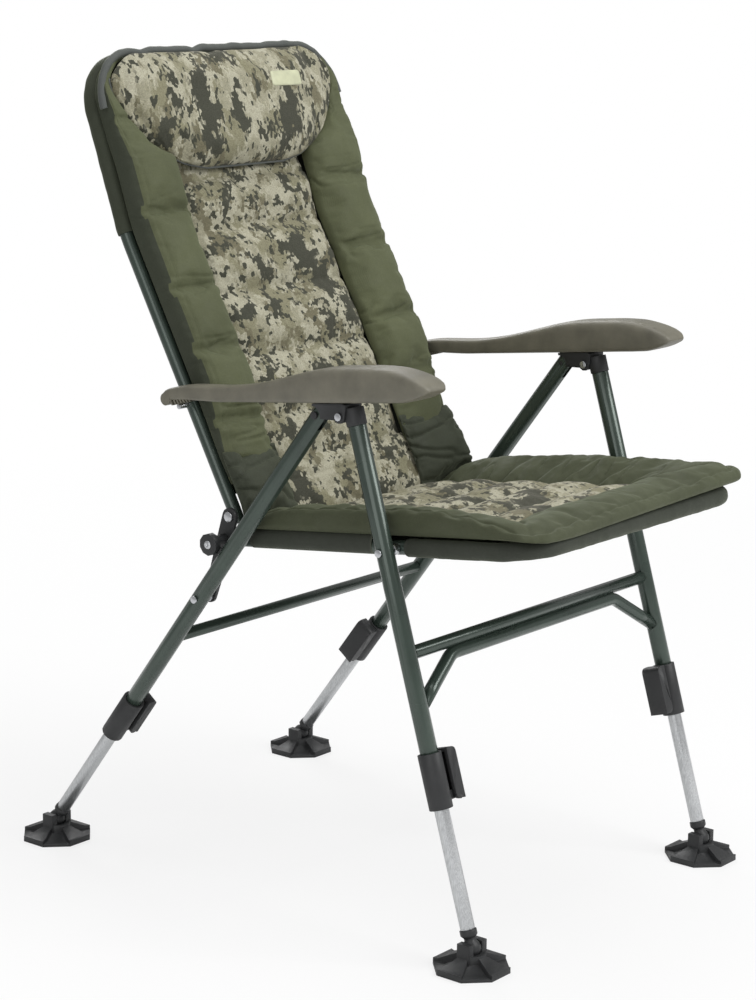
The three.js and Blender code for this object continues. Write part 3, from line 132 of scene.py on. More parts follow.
def spread(v, start, end):
    """v from -1 to 1 as a place from start to end."""
    return (start + end) / 2 + v * ((end - start) / 2)


def shares(places, start, end):
    """Places from start to end as v from -1 to 1."""
    return [(place - spread(0, start, end)) / ((end - start) / 2) for place in places]


def smooth(value, start, end):
    share = np.clip((value - start) / (end - start), 0, 1)
    return share * share * (3 - 2 * share)


def bump(value, centre, width):
    return np.exp(-(((value - centre) / width) ** 2))


def tucks(at, places, width):
    """1 at each place. width is one number or one for each."""
    return np.max([bump(at, *pair) for pair in zip(places, np.broadcast_to(width, len(places)))], axis=0)


def rise(t, sharpness):
    """1 in the middle, falling to 0 at -1 and 1."""
    return np.sqrt(np.maximum(0, 1 - np.abs(t) ** sharpness))


def ripple(points, scale, seed, depth=2):
    """Smooth noise from about -1 to 1. scale is a ripple's size in metres along each axis."""
    offset = np.array([seed * 3.1, seed * 1.7, seed * 5.3])
    return np.array([
        noise.fractal(Vector(p), 1.0, 2.0, depth) for p in (points * (1 / np.array(scale)) + offset)])


def creased(points, scale, seed, sharpness=5):
    """Narrow valleys between broad rolls, from 0 to 1 in the valleys."""
    return (1 - np.minimum(1, np.abs(ripple(points, scale, seed, 1)) * 2.2)) ** sharpness


# Mesh builders

def shade_smooth(mesh):
    mesh.polygons.foreach_set("use_smooth", [True] * len(mesh.polygons))


def make_object(name, vertices, faces, material):
    mesh = bpy.data.meshes.new(name)
    mesh.from_pydata([tuple(v) for v in vertices], [], faces)
    mesh.update()
    shade_smooth(mesh)
    obj = bpy.data.objects.new(name, mesh)
    bpy.context.scene.collection.objects.link(obj)
    if material:
        mesh.materials.append(material)
    return obj


def fitted(obj, body, slot, *nodes):
    """obj rides on body and stands for the CAD nodes. slot is not used."""
    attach(obj, body)
    if nodes:
        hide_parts(*nodes)
    return obj


def face_outward(obj):
    mesh = bmesh.new()
    mesh.from_mesh(obj.data)
    bmesh.ops.recalc_face_normals(mesh, faces=mesh.faces)
    mesh.to_mesh(obj.data)
    mesh.free()


def quads(index, wrap=False):
    """The faces of a grid of vertex numbers. Wrapped grids close along each row."""
    if wrap:
        index = np.concatenate([index, index[:, :1]], 1)
    corners = index[:-1, :-1], index[:-1, 1:], index[1:, 1:], index[1:, :-1]
    return np.stack(corners, -1).reshape(-1, 4).tolist()


def capped_faces(rows, sides):
    index = np.arange(rows * sides).reshape(rows, sides)
    return quads(index, wrap=True) + [index[0, ::-1].tolist(), index[-1].tolist()]


def two_skins(name, upper, lower, material, wrap=False):
    """A thin shell between two grids of points that have the same rows and columns."""
    rows, columns = upper.shape[:2]
    total = rows * columns
    index = np.arange(total).reshape(rows, columns)
    faces = quads(index, wrap) + [face[::-1] for face in quads(index + total, wrap)]
    if wrap:
        rims = [index[0, ::-1], index[-1]]
    else:
        rims = [np.concatenate([index[0], index[1:, -1], index[-1, -2::-1], index[-2:0:-1, 0]])]
    for rim in rims:
        faces += [(b, a, a + total, b + total) for a, b in zip(rim.tolist(), np.roll(rim, -1).tolist())]
    return make_object(name, np.concatenate([upper.reshape(-1, 3), lower.reshape(-1, 3)]), faces, material)


def as_points(path):
    return np.array([tuple(p) for p in path], float)


def circle(sides):
    """The angles of sides points round a circle."""
    return np.linspace(0, 2 * math.pi, sides, endpoint=False)


def around(points, sides):
    """Directions out of a path at each of its points, without a twist."""
    tangents = np.gradient(points, axis=0)
    tangents /= np.linalg.norm(tangents, axis=1)[:, None]
    turns = circle(sides)
    across = np.cross(tangents[0], (0.31, 0.17, 0.93))
    rings = []
    for tangent in tangents:
        across = across - tangent * (across @ tangent)
        across /= np.linalg.norm(across)
        rings.append(np.outer(np.cos(turns), across) + np.outer(np.sin(turns), np.cross(tangent, across)))
    return np.array(rings)


def tube(name, path, radius, material, sides=24):
    """A closed tube along path. radius is one number or one for each point."""
    points = as_points(path)
    radii = np.broadcast_to(radius, (len(points),))[:, None, None]
    vertices = points[:, None] + around(points, sides) * radii
    return make_object(name, vertices.reshape(-1, 3), capped_faces(len(points), sides), material)


def bent_path(corners, radius, step, facets=12):
    """Points along straight runs joined by arcs, no further apart than step."""
    corners = [Vector(c) for c in corners]
    path = [corners[0]]
    for before, corner, after in zip(corners, corners[1:], corners[2:]):
        back, ahead = (before - corner).normalized(), (after - corner).normalized()
        opening = back.angle(ahead)
        centre = corner + (back + ahead).normalized() * (radius / math.sin(opening / 2))
        start, end = (corner + way * (radius / math.tan(opening / 2)) - centre for way in (back, ahead))
        turn = start.angle(end)
        for facet in range(facets + 1):
            share = facet / facets
            path.append(centre + (
                start * math.sin((1 - share) * turn) + end * math.sin(share * turn)) / math.sin(turn))
    return densified([*path, corners[-1]], step)


def densified(path, step):
    """The same path with points no further apart than step."""
    points = [Vector(p) for p in path]
    dense = [points[0]]
    for start, end in zip(points, points[1:]):
        pieces = max(1, math.ceil((end - start).length / step))
        dense += [start.lerp(end, (i + 1) / pieces) for i in range(pieces)]
    return dense


def seat_path(start, step):
    """The U of the seat's tube, from start forward of the axle on either side."""
    side, front = SIDE_TUBE_X, SEAT_FRONT_TUBE
    corners = [on_seat(x, along, 0) for x, along in (
        (-side, start), (-side, front), (side, front), (side, start))]
    return bent_path(corners, SEAT_BEND, step)


# Cushions

CLOTH_FRAMES = 16
CLOTH_SETTINGS = {
    "quality": 5, "mass": 0.25, "tension_stiffness": 12, "compression_stiffness": 12, "shear_stiffness": 5,
    "bending_stiffness": 0.4, "use_pressure": True, "vertex_group_mass": "seams", "pin_stiffness": 2}
CLOTH_SLACK = 0.03


def cushion(name, columns, rows, place, material):
    """A closed cushion. place(u, v, side) takes arrays from -1 to 1 and gives points of its
    upper (side 1) or lower (side -1) skin. The skins meet along the rim."""
    u = np.sin(np.linspace(-0.5, 0.5, columns + 1) * math.pi * 0.9) / math.sin(0.45 * math.pi)
    grid_u, grid_v = np.meshgrid(u, np.linspace(-1, 1, rows + 1))
    upper, lower = place(grid_u, grid_v, 1), place(grid_u, grid_v, -1)
    index = np.arange(grid_u.size).reshape(grid_u.shape)
    inner = np.zeros_like(index, bool)
    inner[1:-1, 1:-1] = True
    low_index = index.copy()
    low_index[inner] = index.size + np.arange(inner.sum())
    faces = quads(index) + [face[::-1] for face in quads(low_index)]
    obj = make_object(name, np.concatenate([upper.reshape(-1, 3), lower[inner]]), faces, material)
    flat_u, flat_v = (np.concatenate([grid.ravel(), grid[inner]]) for grid in (grid_u, grid_v))
    return obj, flat_u, flat_v, np.repeat([0.0, 1.0], [index.size, inner.sum()])


def read(items, attribute):
    """A vector of each item as an array with three columns."""
    flat = np.empty(len(items) * 3)
    items.foreach_get(attribute, flat)
    return flat.reshape(-1, 3)


def set_coordinates(obj, points):
    obj.data.vertices.foreach_set("co", points.ravel())
    obj.data.update()


def subdivide(obj):
    modifier = obj.modifiers.new("subdivision", "SUBSURF")
    modifier.levels = modifier.render_levels = 1
    mesh = bpy.data.meshes.new_from_object(obj.evaluated_get(bpy.context.evaluated_depsgraph_get()))
    obj.modifiers.clear()
    obj.data = mesh
    shade_smooth(mesh)


def simulate(obj, pressure, cap, pinned):
    """Blows the cushion up as cloth. pinned is 1 where a vertex is held, and none moves further
    than cap."""
    before = read(obj.data.vertices, "co")
    group = obj.vertex_groups.new(name="seams")
    for index, weight in enumerate(pinned):
        if weight > 0:
            group.add([index], float(weight), "REPLACE")
    modifier = obj.modifiers.new("cloth", "CLOTH")
    for key, value in CLOTH_SETTINGS.items():
        setattr(modifier.settings, key, value)
    modifier.settings.uniform_pressure_force = pressure
    modifier.settings.shrink_min = -CLOTH_SLACK
    modifier.settings.effector_weights.gravity = 0
    modifier.collision_settings.use_collision = False
    modifier.point_cache.frame_end = CLOTH_FRAMES
    for step in range(1, CLOTH_FRAMES + 1):
        bpy.context.scene.frame_set(step)
    evaluated = obj.evaluated_get(bpy.context.evaluated_depsgraph_get())
    moved = read(evaluated.data.vertices, "co") - before
    obj.modifiers.clear()
    obj.vertex_groups.clear()
    bpy.context.scene.frame_set(1)
    length = np.linalg.norm(moved, axis=1)
    moved *= np.minimum(1, cap / np.maximum(length, 1e-9))[:, None]
    set_coordinates(obj, before + moved)


def rim_seam(u, v, across=0.965, ends=0.985):
    return np.where((np.abs(u) > across) | (np.abs(v) > ends), 1.0, 0.0)


def fabric(made, body, slot, nodes, seams, detail, cap=0.005, pressure=3.0):
    """Blows a cushion up, smooths it, adds its folds, and fits it to the frame. seams(u, v) is 1
    on the seams, and detail(points, u, v) lifts the skin. The underside stays flat."""
    obj, u, v, underside = made
    simulate(obj, pressure, cap, np.clip(np.maximum(seams(u, v), underside), 0, 1))
    marks = obj.data.attributes.new("grid", "FLOAT_VECTOR", "POINT")
    marks.data.foreach_set("vector", np.stack([u, v, underside], -1).ravel())
    subdivide(obj)
    u, v, underside = read(obj.data.attributes["grid"].data, "vector").T
    points = read(obj.data.vertices, "co")
    lift = detail(points, u, v) * (1 - np.clip(underside * 2, 0, 1))
    set_coordinates(obj, points + read(obj.data.vertices, "normal") * lift[:, None])
    obj.data.attributes.remove(obj.data.attributes["grid"])
    fitted(obj, body, slot, *nodes)
    return obj


# Materials

WHITE = (1, 1, 1, 1)


def linear(colour):
    """An sRGB colour, 0 to 255, as the linear RGBA that shaders take."""
    shares = [c / 255 for c in colour]
    return (*(s / 12.92 if s <= 0.04045 else ((s + 0.055) / 1.055) ** 2.4 for s in shares), 1)


def add_node(tree, kind, inputs=None, **values):
    """A new shader node. inputs gives each socket a value or the output that feeds it."""
    made = tree.nodes.new(f"ShaderNode{kind}")
    for key, value in values.items():
        setattr(made, key, value)
    for socket, source in (inputs or {}).items():
        if isinstance(source, bpy.types.NodeSocket):
            tree.links.new(source, made.inputs[socket])
        else:
            made.inputs[socket].default_value = source
    return made


class Shader:
    """A node material under construction."""

    def __init__(self, name, colour, roughness, **values):
        self.material = bpy.data.materials.new(name)
        self.material.use_nodes = True
        self.tree = self.material.node_tree
        self.principled = self.tree.nodes["Principled BSDF"]
        self.set(Base_Color=linear(colour), Roughness=roughness, **values)

    def set(self, **values):
        for key, value in values.items():
            self.principled.inputs[key.replace("_", " ")].default_value = value

    def node(self, kind, inputs=None, **values):
        return add_node(self.tree, kind, inputs, **values)

    def link(self, source, socket):
        self.tree.links.new(source, self.principled.inputs[socket])

    def mapped(self, scale=(1, 1, 1), turn=(0, 0, 0), place=None):
        if place is None:
            place = self.node("TexCoord").outputs["Object"]
        mapping = self.node("Mapping", {"Vector": place, "Scale": scale, "Rotation": turn})
        return mapping.outputs["Vector"]

    def noise(self, scale, detail=3.0, roughness=0.6, vector=None):
        if vector is None:
            vector = self.mapped()
        return self.node("TexNoise", {
            "Vector": vector, "Scale": scale, "Detail": detail, "Roughness": roughness}).outputs["Fac"]

    def ramp(self, value, *stops):
        """Two stops, each a place with a grey from 0 to 1 or an sRGB colour."""
        made = self.node("ValToRGB", {"Fac": value})
        for element, (position, tone) in zip(made.color_ramp.elements, stops):
            element.position = position
            element.color = linear(tone) if isinstance(tone, tuple) else (tone, tone, tone, 1)
        return made.outputs["Color"]

    def mix(self, kind, factor, first, second):
        return self.node("Mix", {0: factor, 6: first, 7: second},
                         data_type="RGBA", blend_type=kind).outputs[2]

    def math(self, operation, first, second):
        return self.node("Math", {0: first, 1: second}, operation=operation).outputs[0]

    def bumps(self, *layers):
        """Each layer is (height, distance in metres, strength), one on top of the other."""
        below = {}
        for height, distance, strength in layers:
            inputs = {"Height": height, "Distance": distance, "Strength": strength, **below}
            below = {"Normal": self.node("Bump", inputs).outputs["Normal"]}
        self.link(below["Normal"], "Normal")


def weave(shader, size=0.0011):
    """The crossed threads of a heavy plain cloth."""
    bands = [shader.node("TexWave", {
        "Vector": shader.mapped(turn=(0, 0, turn)), "Scale": 1 / (size * 6.3), "Distortion": 1.2,
        "Detail": 1.0, "Detail Scale": 3.0}, bands_direction="X").outputs["Fac"] for turn in (0, math.pi / 2)]
    return shader.math("MULTIPLY", *bands)


def cloth_finish(shader, tint):
    shader.set(
        Sheen_Weight=0.25, Sheen_Roughness=0.45, Sheen_Tint=linear(tint), Specular_IOR_Level=0.25)
    return shader.material


def olive_cloth(name, colour, contrast=0.16):
    shader = Shader(name, colour, 0.8)
    patches = shader.ramp(shader.noise(9, 4), (0.3, 1 - contrast), (0.7, 1 + contrast / 2))
    grain = shader.ramp(shader.noise(750, 2), (0.3, 0.82), (0.7, 1.1))
    base = shader.mix("MULTIPLY", 1.0, linear(colour), patches)
    shader.link(shader.mix("MULTIPLY", 0.8, base, grain), "Base Color")
    shader.link(shader.ramp(shader.noise(40), (0.3, 0.62), (0.7, 0.85)), "Roughness")
    shader.bumps(
        (shader.noise(60, 4, 0.65, shader.mapped(scale=(1, 0.5, 0.6))), 0.0016, 0.5),
        (weave(shader), 0.0003, 0.25))
    return cloth_finish(shader, (180, 190, 160))


CAMO_LIGHT = (172, 169, 149)
CAMO_DARK = (66, 67, 57)
CAMO_CELLS = 240.0
# Each kind of blotch: scale, turn, where it begins and is whole, detail and colour
CAMO_BLOTCHES = (
    (34, (0.4, 0.9, 0.2), 0.64, 0.72, 2.0, (152, 149, 128)),
    (22, (0.0, 0.2, 0.1), 0.69, 0.75, 2.0, (133, 130, 106)),
    (30, (0.7, 0.5, 1.3), 0.735, 0.77, 2.0, (112, 108, 87)),
    (22, (1.1, 0.3, 0.7), 0.715, 0.735, 2.0, CAMO_DARK),
    (70, (0.2, 1.4, 0.9), 0.76, 0.78, 1.0, CAMO_DARK))


def camouflage_cloth(name, stretch=(1, 1, 1), turn=(0, 0, 0), size=1.0):
    """Blotches in five tones, broken up into small cells at their edges, on a brushed cloth."""
    shader = Shader(name, CAMO_LIGHT, 0.9)
    cells = shader.node("TexVoronoi", {"Vector": shader.mapped(scale=stretch), "Scale": CAMO_CELLS})
    centre = cells.outputs["Position"]
    scatter = shader.math("MULTIPLY", cells.outputs["Color"], 0.10)
    ragged = shader.math("MULTIPLY", shader.noise(110, 3, 0.7, shader.mapped(place=centre)), 0.22)
    edge = shader.math("ADD", scatter, ragged)
    colour = linear(CAMO_LIGHT)
    for scale, lean, start, end, detail, tone in CAMO_BLOTCHES:
        turned = shader.mapped(turn=tuple(a + b for a, b in zip(turn, lean)), place=centre)
        broad = shader.noise(scale / size, detail, 0.5, turned)
        share = shader.ramp(shader.math("ADD", broad, edge), (start, 0), (end, 1))
        colour = shader.mix("MIX", share, colour, linear(tone))
    grain = shader.ramp(shader.noise(620, 3, 0.8), (0.32, 0.55), (0.68, 1.28))
    shader.link(shader.mix("MULTIPLY", 0.9, colour, grain), "Base Color")
    shader.bumps((shader.noise(45, 4), 0.002, 0.35), (shader.noise(900, 2), 0.0006, 0.6))
    return cloth_finish(shader, (210, 205, 190))


def hard_material(name, colour, roughness, tones, gloss, *grains, stretch=(1, 1, 1), **values):
    """tones and gloss are the arguments of a noise and the two stops of a ramp over it, and a
    grain is the arguments of a noise, its height and its strength. stretch is not for the gloss."""
    shader = Shader(name, colour, roughness, **values)

    def stretched(scale, detail):
        return shader.noise(scale, detail, vector=shader.mapped(scale=stretch))

    if tones:
        shader.link(shader.ramp(stretched(*tones[0]), *tones[1:]), "Base Color")
    shader.link(shader.ramp(shader.noise(*gloss[0]), *gloss[1:]), "Roughness")
    shader.bumps(*((stretched(*grain), height, strength) for grain, height, strength in grains))
    return shader.material


def moulded_plastic(name, colour, roughness):
    dark, light = (tuple(c * share for c in colour) for share in (0.9, 1.07))
    return hard_material(
        name, colour, roughness, [(30, 5), (0.3, dark), (0.7, light)],
        [(60, 4), (0.3, roughness * 0.85), (0.7, roughness * 1.12)],
        ((1600, 2), 0.0003, 0.4), ((12, 2), 0.001, 0.12))


TUBE_GREEN = hard_material(
    "green_powder_coat", (58, 68, 61), 0.3, [(14, 4), (0.35, (56, 68, 61)), (0.65, (64, 77, 69))],
    [(8, 3, 0.5), (0.35, 0.24), (0.7, 0.32)], ((1400, 2), 0.0001, 0.15),
    Metallic=0.35, Coat_Weight=0.35, Coat_Roughness=0.18)
ALUMINIUM = hard_material(
    "bare_aluminium", (205, 207, 208), 0.32, [(260, 3), (0.35, (176, 178, 180)), (0.65, (216, 218, 219))],
    [(35, 5), (0.3, 0.26), (0.7, 0.42)], ((260, 3), 0.0001, 0.3), stretch=(6, 6, 0.25), Metallic=0.95)
STEEL = hard_material(
    "bright_steel", (200, 202, 205), 0.2, None, [(90, 4), (0.3, 0.16), (0.7, 0.34)],
    ((500, 2), 0.0001, 0.2), Metallic=1.0)
BLACK = moulded_plastic("black_plastic", (42, 43, 44), 0.5)
KHAKI = moulded_plastic("khaki_plastic", (110, 107, 94), 0.46)
TAG = moulded_plastic("tag_plastic", (188, 190, 160), 0.42)
OLIVE = olive_cloth("olive_cloth", (86, 90, 65))
# A darker copy of the olive cloth for the seat surround: painted shade
OLIVE_SEAT_PAINTED_SHADE = olive_cloth("olive_cloth_seat_painted_shade", (72, 76, 57))
# A darker copy of the olive cloth: painted shade, used on the bolsters' sideways flanks, the wrap at the top
# of the back and the corner cloths
OLIVE_PAINTED_SHADE = olive_cloth("olive_cloth_painted_shade", (58, 62, 50), 0.1)
SLEEVE = olive_cloth("sleeve_cloth", (58, 61, 54), 0.1)
BINDING = olive_cloth("binding_tape", (84, 87, 85), 0.08)
CAMO = camouflage_cloth("camouflage_cloth")
CAMO_PILLOW = camouflage_cloth("camouflage_cloth_pillow", (1.15, 0.9, 0.7), (0, 0.5, 0), 1.1)


# The frame's own solids keep their shape. They get their material and softened edges.

SMOOTH_BELOW = math.radians(40)
WELD_DISTANCE = 0.00001
MOULDED_EDGE = 0.0006


def bevelled(obj, width):
    bevel = obj.modifiers.new("softened_edges", "BEVEL")
    bevel.width = width
    bevel.segments = 2
    bevel.limit_method = "ANGLE"
    bevel.angle_limit = SMOOTH_BELOW
    bevel.harden_normals = True


def dress(starts, material, softening):
    """Gives the CAD nodes whose names start so their material and softened edges."""
    for name, node in frame["nodes"].items():
        if name.startswith(starts):
            node.data.materials.clear()
            node.data.materials.append(material)
            shade_smooth(node.data)
            node.modifiers.new("weld", "WELD").merge_threshold = WELD_DISTANCE
            bevelled(node, softening)


dress(("front_leg_right", "front_leg_left", "front_crossbar", "rear_leg", "rear_crossbar",
       "seat_frame", "seat_rear_tube", "back_frame"), TUBE_GREEN, 0.0004)
dress(("inner_leg",), ALUMINIUM, 0.0004)
dress(("front_leg_cap", "lock_", "arm_bracket", "hinge_link", "axle_knob", "leg_plug", "mud_foot"),
      BLACK, 0.0008)
dress(("seat_bolt", "link_bolt", "apex_bolt", "back_hinge_screw", "recline_pin"), STEEL, 0.0003)
dress(("armrest",), KHAKI, MOULDED_EDGE)


# Bent tubes, with round bends in place of the faceted ones

LOWER_BAR_RISE = 0.060
LOWER_BAR_INSET = 0.090
LOWER_BAR_BEND = 0.034
LOWER_BAR_END_SHARE = 0.25
LEG_WALL_MIDDLE = 0.0123


def back_tube():
    kink_start, kink_end = KINK_UP - KINK_HALF, KINK_UP + KINK_HALF
    turns = np.linspace(0, math.pi / 2, 13)[1:]
    straight = np.concatenate([
        np.linspace(-BACK_TAIL, kink_start, 12), np.linspace(kink_start, kink_end, 12)[1:],
        np.linspace(kink_end, BACK_BEND_START, 10)[1:]])
    up = np.concatenate([straight, BACK_BEND_START + BACK_BEND * np.sin(turns)])
    x = SIDE_TUBE_X - np.concatenate([0 * straight, BACK_BEND * (1 - np.cos(turns))])
    path = densified(np.concatenate([on_back(x, up, 0), on_back(-x[::-1], up[::-1], 0)]), 0.03)
    fitted(tube("back_tube", path, SIDE_TUBE_RADIUS, TUBE_GREEN), "backrest", "green_tube", "back_frame")


def leg_entry(offset, ahead, axis):
    """How far along ahead a point at offset from the leg's axis meets the leg's wall."""
    offset = offset - axis * offset.dot(axis)
    flat = ahead - axis * ahead.dot(axis)
    a, b, c = flat.dot(flat), 2 * offset.dot(flat), offset.dot(offset) - LEG_WALL_MIDDLE ** 2
    return (-b - math.sqrt(max(0, b * b - 4 * a * c))) / (2 * a)


def lower_crossbar():
    """The bar below the straight one. It is bent upwards, and its ends follow the legs' walls."""
    low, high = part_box("front_crossbar_lower")
    middle = (low + high) / 2
    down_leg = Vector((0, -math.sin(FRONT_LEAN), -math.cos(FRONT_LEAN)))
    corner_x = LEG_X - LOWER_BAR_INSET
    top, bottom = (middle + down_leg * (LOWER_BAR_RISE / 2 * sign) for sign in (-1, 1))
    corners = [Vector((x, place.y, place.z)) for x, place in (
        (-LEG_X, bottom), (-corner_x, top), (corner_x, top), (LEG_X, bottom))]
    for outer, inner in ((0, 1), (3, 2)):
        corners[outer] = corners[outer].lerp(corners[inner], LOWER_BAR_END_SHARE)
    path = bent_path(corners, LOWER_BAR_BEND, 0.02)
    bar = tube("front_crossbar_bent", path, CROSSBAR_RADIUS, TUBE_GREEN)
    mesh = bmesh.new()
    mesh.from_mesh(bar.data)
    caps = [face for face in mesh.faces if len(face.verts) > 4]
    for hub in bmesh.ops.poke(mesh, faces=caps)["verts"]:
        side, tip, before = (1, path[-1], path[-2]) if hub.co.x > 0 else (-1, path[0], path[1])
        ahead = (tip - before).normalized()
        foot = Vector((side * LEG_X, bottom.y, bottom.z))
        for vertex in {vertex for edge in hub.link_edges for vertex in edge.verts}:
            vertex.co += ahead * leg_entry(vertex.co - foot, ahead, down_leg)
    mesh.to_mesh(bar.data)
    mesh.free()
    fitted(bar, "front_frame", "green_tube", "front_crossbar_lower")


seat = tube("seat_tube", seat_path(-SEAT_TAIL, 0.02), SIDE_TUBE_RADIUS, TUBE_GREEN)
fitted(seat, "seat", "green_tube", "seat_frame")
back_tube()
lower_crossbar()


# Armrests

ARM_TILT = math.radians(6.9)
ARM_UNDERSIDE = 0.0185
ARM_THICKNESS = 0.0473
ARM_FRONT = 0.1565
ARM_REAR = 0.334
ARM_INNER = 0.257
ARM_WIDTH = 0.311 - ARM_INNER
# Place along the bar, lower and upper height, inner and outer face, as shares of these sizes
ARM_STATIONS = np.array([
    (0.000, 0.30, 0.36, 0.17, 0.83), (0.006, 0.24, 0.46, 0.10, 0.90), (0.020, 0.17, 0.58, 0.045, 0.955),
    (0.045, 0.08, 0.71, 0.01, 0.99), (0.073, 0.02, 0.81, 0.0, 1.0), (0.115, 0.0, 0.92, 0.0, 1.0),
    (0.176, 0.0, 0.985, 0.0, 1.0), (0.254, 0.0, 1.0, 0.0, 1.0), (0.352, 0.0, 0.985, 0.0, 0.99),
    (0.410, 0.0, 0.92, 0.01, 0.97), (0.472, 0.0, 0.81, 0.03, 0.94), (0.543, 0.0, 0.68, 0.05, 0.88),
    (0.634, 0.0, 0.54, 0.08, 0.81), (0.706, 0.0, 0.475, 0.11, 0.765), (0.774, 0.0, 0.465, 0.13, 0.74),
    (0.838, 0.03, 0.485, 0.13, 0.725), (0.900, 0.06, 0.49, 0.13, 0.72), (0.951, 0.06, 0.44, 0.13, 0.72),
    (0.984, 0.05, 0.36, 0.14, 0.71), (1.0, 0.10, 0.24, 0.18, 0.67)])
TAIL_RADIUS = 0.0090
TAIL_ALONG = ARM_REAR - 0.0095
TAIL_UP = 0.0045
TAIL_OUTER = 0.2962
COMB_INNER = 0.264
# The first tooth is a little wider than the others
TOOTH_OUTER = (0.2955,) + (0.2945,) * 6
TOOTH_PITCH = 0.0058
TOOTH_WIDTH = 0.0030
TOOTH_LEAN = 0.0035
TOOTH_ROOT = 0.004
TOOTH_TIP = -0.0043
TOOTH_TIP_STEP = 0.0009
TOOTH_GAP = 0.002


def in_arm(x, along, up):
    """along runs rearwards from the apex bolt, up is off the datum of the underside."""
    return leaned(ARM_APEX, -ARM_TILT, x, along, up)


def eased(stations, count):
    """Rows of the table resampled along a smooth curve through them."""
    keys = stations[:, 0]
    slopes = np.gradient(stations[:, 1:], keys, axis=0)
    share = np.linspace(0, 1, count)
    places = 0.5 - 0.5 * np.cos(share * math.pi) * 0.55 + (share - 0.5) * 0.45
    index = np.clip(np.searchsorted(keys, places, side="right") - 1, 0, len(keys) - 2)
    width = keys[index + 1] - keys[index]
    t = ((places - keys[index]) / width)[:, None]
    a, b = stations[index, 1:], stations[index + 1, 1:]
    slope_a, slope_b = slopes[index] * width[:, None], slopes[index + 1] * width[:, None]
    values = (
        (2 * t**3 - 3 * t**2 + 1) * a + (t**3 - 2 * t**2 + t) * slope_a
        + (-2 * t**3 + 3 * t**2) * b + (t**3 - t**2) * slope_b)
    return np.column_stack([places, values])


def arm_section(sides=36):
    """Half width and height shares round a section with a flat underside and a soft crown."""
    turns = 2 * math.pi * np.arange(sides) / sides - math.pi / 2
    across, up = np.cos(turns), np.sin(turns)
    sharp = np.where(up < 0, 0.30, 0.55)
    return (
        np.copysign(np.abs(across) ** (sharp * 0.8), across), (np.copysign(np.abs(up) ** sharp, up) + 1) / 2)


def armrest(side, name):
    def prism(outline, outer):
        """The two rings of a prism from the comb's inner face to outer. outline is (along, up)
        points."""
        along, up = np.array(outline).T
        return [in_arm(side * x, along, up) for x in (COMB_INNER, outer)]

    half_widths, heights = arm_section()
    rings = []
    for share, low, high, inner, outer in eased(ARM_STATIONS, 90):
        bottom, top = ARM_UNDERSIDE + low * ARM_THICKNESS, ARM_UNDERSIDE + high * ARM_THICKNESS
        x = ARM_INNER + ARM_WIDTH * (inner + outer) / 2 + half_widths * ARM_WIDTH * (outer - inner) / 2
        along = -ARM_FRONT + share * (ARM_FRONT + ARM_REAR)
        rings.append(in_arm(side * x, along, bottom + heights * (top - bottom)))
    pieces = [rings, prism([
        (TAIL_ALONG + TAIL_RADIUS * math.cos(a), ARM_UNDERSIDE + TAIL_UP + TAIL_RADIUS * math.sin(a))
        for a in circle(28)], TAIL_OUTER)]
    for tooth, outer in enumerate(TOOTH_OUTER):
        rear = TAIL_ALONG - TAIL_RADIUS - TOOTH_GAP - tooth * TOOTH_PITCH
        root, tip = ARM_UNDERSIDE + TOOTH_ROOT, ARM_UNDERSIDE + TOOTH_TIP + tooth * TOOTH_TIP_STEP
        pieces.append(prism([
            (rear + TOOTH_LEAN, root), (rear + TOOTH_LEAN - TOOTH_WIDTH, root),
            (rear - TOOTH_WIDTH * 0.8, tip), (rear, tip)], outer))
    vertices, faces = [], []
    for piece in pieces:
        faces += [[i + len(vertices) for i in face] for face in capped_faces(len(piece), len(piece[0]))]
        vertices += np.concatenate(piece).tolist()
    obj = make_object(f"armrest_moulding_{name}", vertices, faces, KHAKI)
    face_outward(obj)
    bevelled(obj, MOULDED_EDGE)
    fitted(obj, f"armrest_lift_{name}", "khaki_plastic", f"armrest_{name}")


for side, name in SIDES:
    armrest(side, name)


# The quilted pads in the middle of the seat and the back

PAD_BASE = 0.0019
TUBE_TOP = 0.0104
SEAT_PAD_REAR = 0.034
SEAT_PAD_FRONT = 0.447
SEAT_PAD_HALF = 0.171
SEAT_PAD_HEIGHT = 0.0255
BACK_PAD_START = 0.046
BACK_PAD_TOP = 0.672
BACK_PAD_HALF = 0.1495
BACK_PAD_HEIGHT = 0.0285
BACK_LINES = shares((0.128, 0.220, 0.320, 0.420, 0.500), BACK_PAD_START, BACK_PAD_TOP)


def seat_taper(along):
    return lerp(0.3, 1, smooth(along, 0, 0.110))


def back_taper(up):
    """The pad is thin at the hinge and behind the pillow."""
    return lerp(0.12, 1, smooth(up, BACK_PAD_START / 2, 0.21)) * lerp(1, 0.42, smooth(up, 0.49, 0.52))


def centre_pad(name, body, node, cells, on, run, half_width, taper, height, dip, ends, lines, widths,
               grain, seed):
    """A pad with seams across it at lines. run is its places at v = -1 and v = 1, ends the
    sharpness of its ends, and widths those of a seam's dip, hold, stitch and puckers."""
    dip_width, hold, stitch, pucker_width = widths

    def place(u, v, side):
        station = spread(v, *run)
        full = rise(u, 6) * rise(v, ends)
        thick = height * taper(station)
        low = PAD_BASE + thick / 3 * (1 - full)
        top = PAD_BASE + thick / 3 + thick * 2 / 3 * full * (1 - 0.16 * u * u)
        top = top - dip * tucks(v, lines, dip_width) * full * taper(station)
        return on(u * half_width, station, np.where(side > 0, top, low))

    def seams(u, v):
        return np.maximum(rim_seam(u, v), tucks(v, lines, hold))

    def detail(points, u, v):
        pucker = ripple(points, (0.010, 0.05, 0.05), seed + 2) * tucks(v, lines, pucker_width)
        return 0.0012 * ripple(points, grain, seed) + 0.0014 * pucker - 0.0018 * tucks(v, lines, stitch)

    made = cushion(name, *cells, place, CAMO)
    fabric(made, body, "camouflage_cloth", [node], seams, detail)


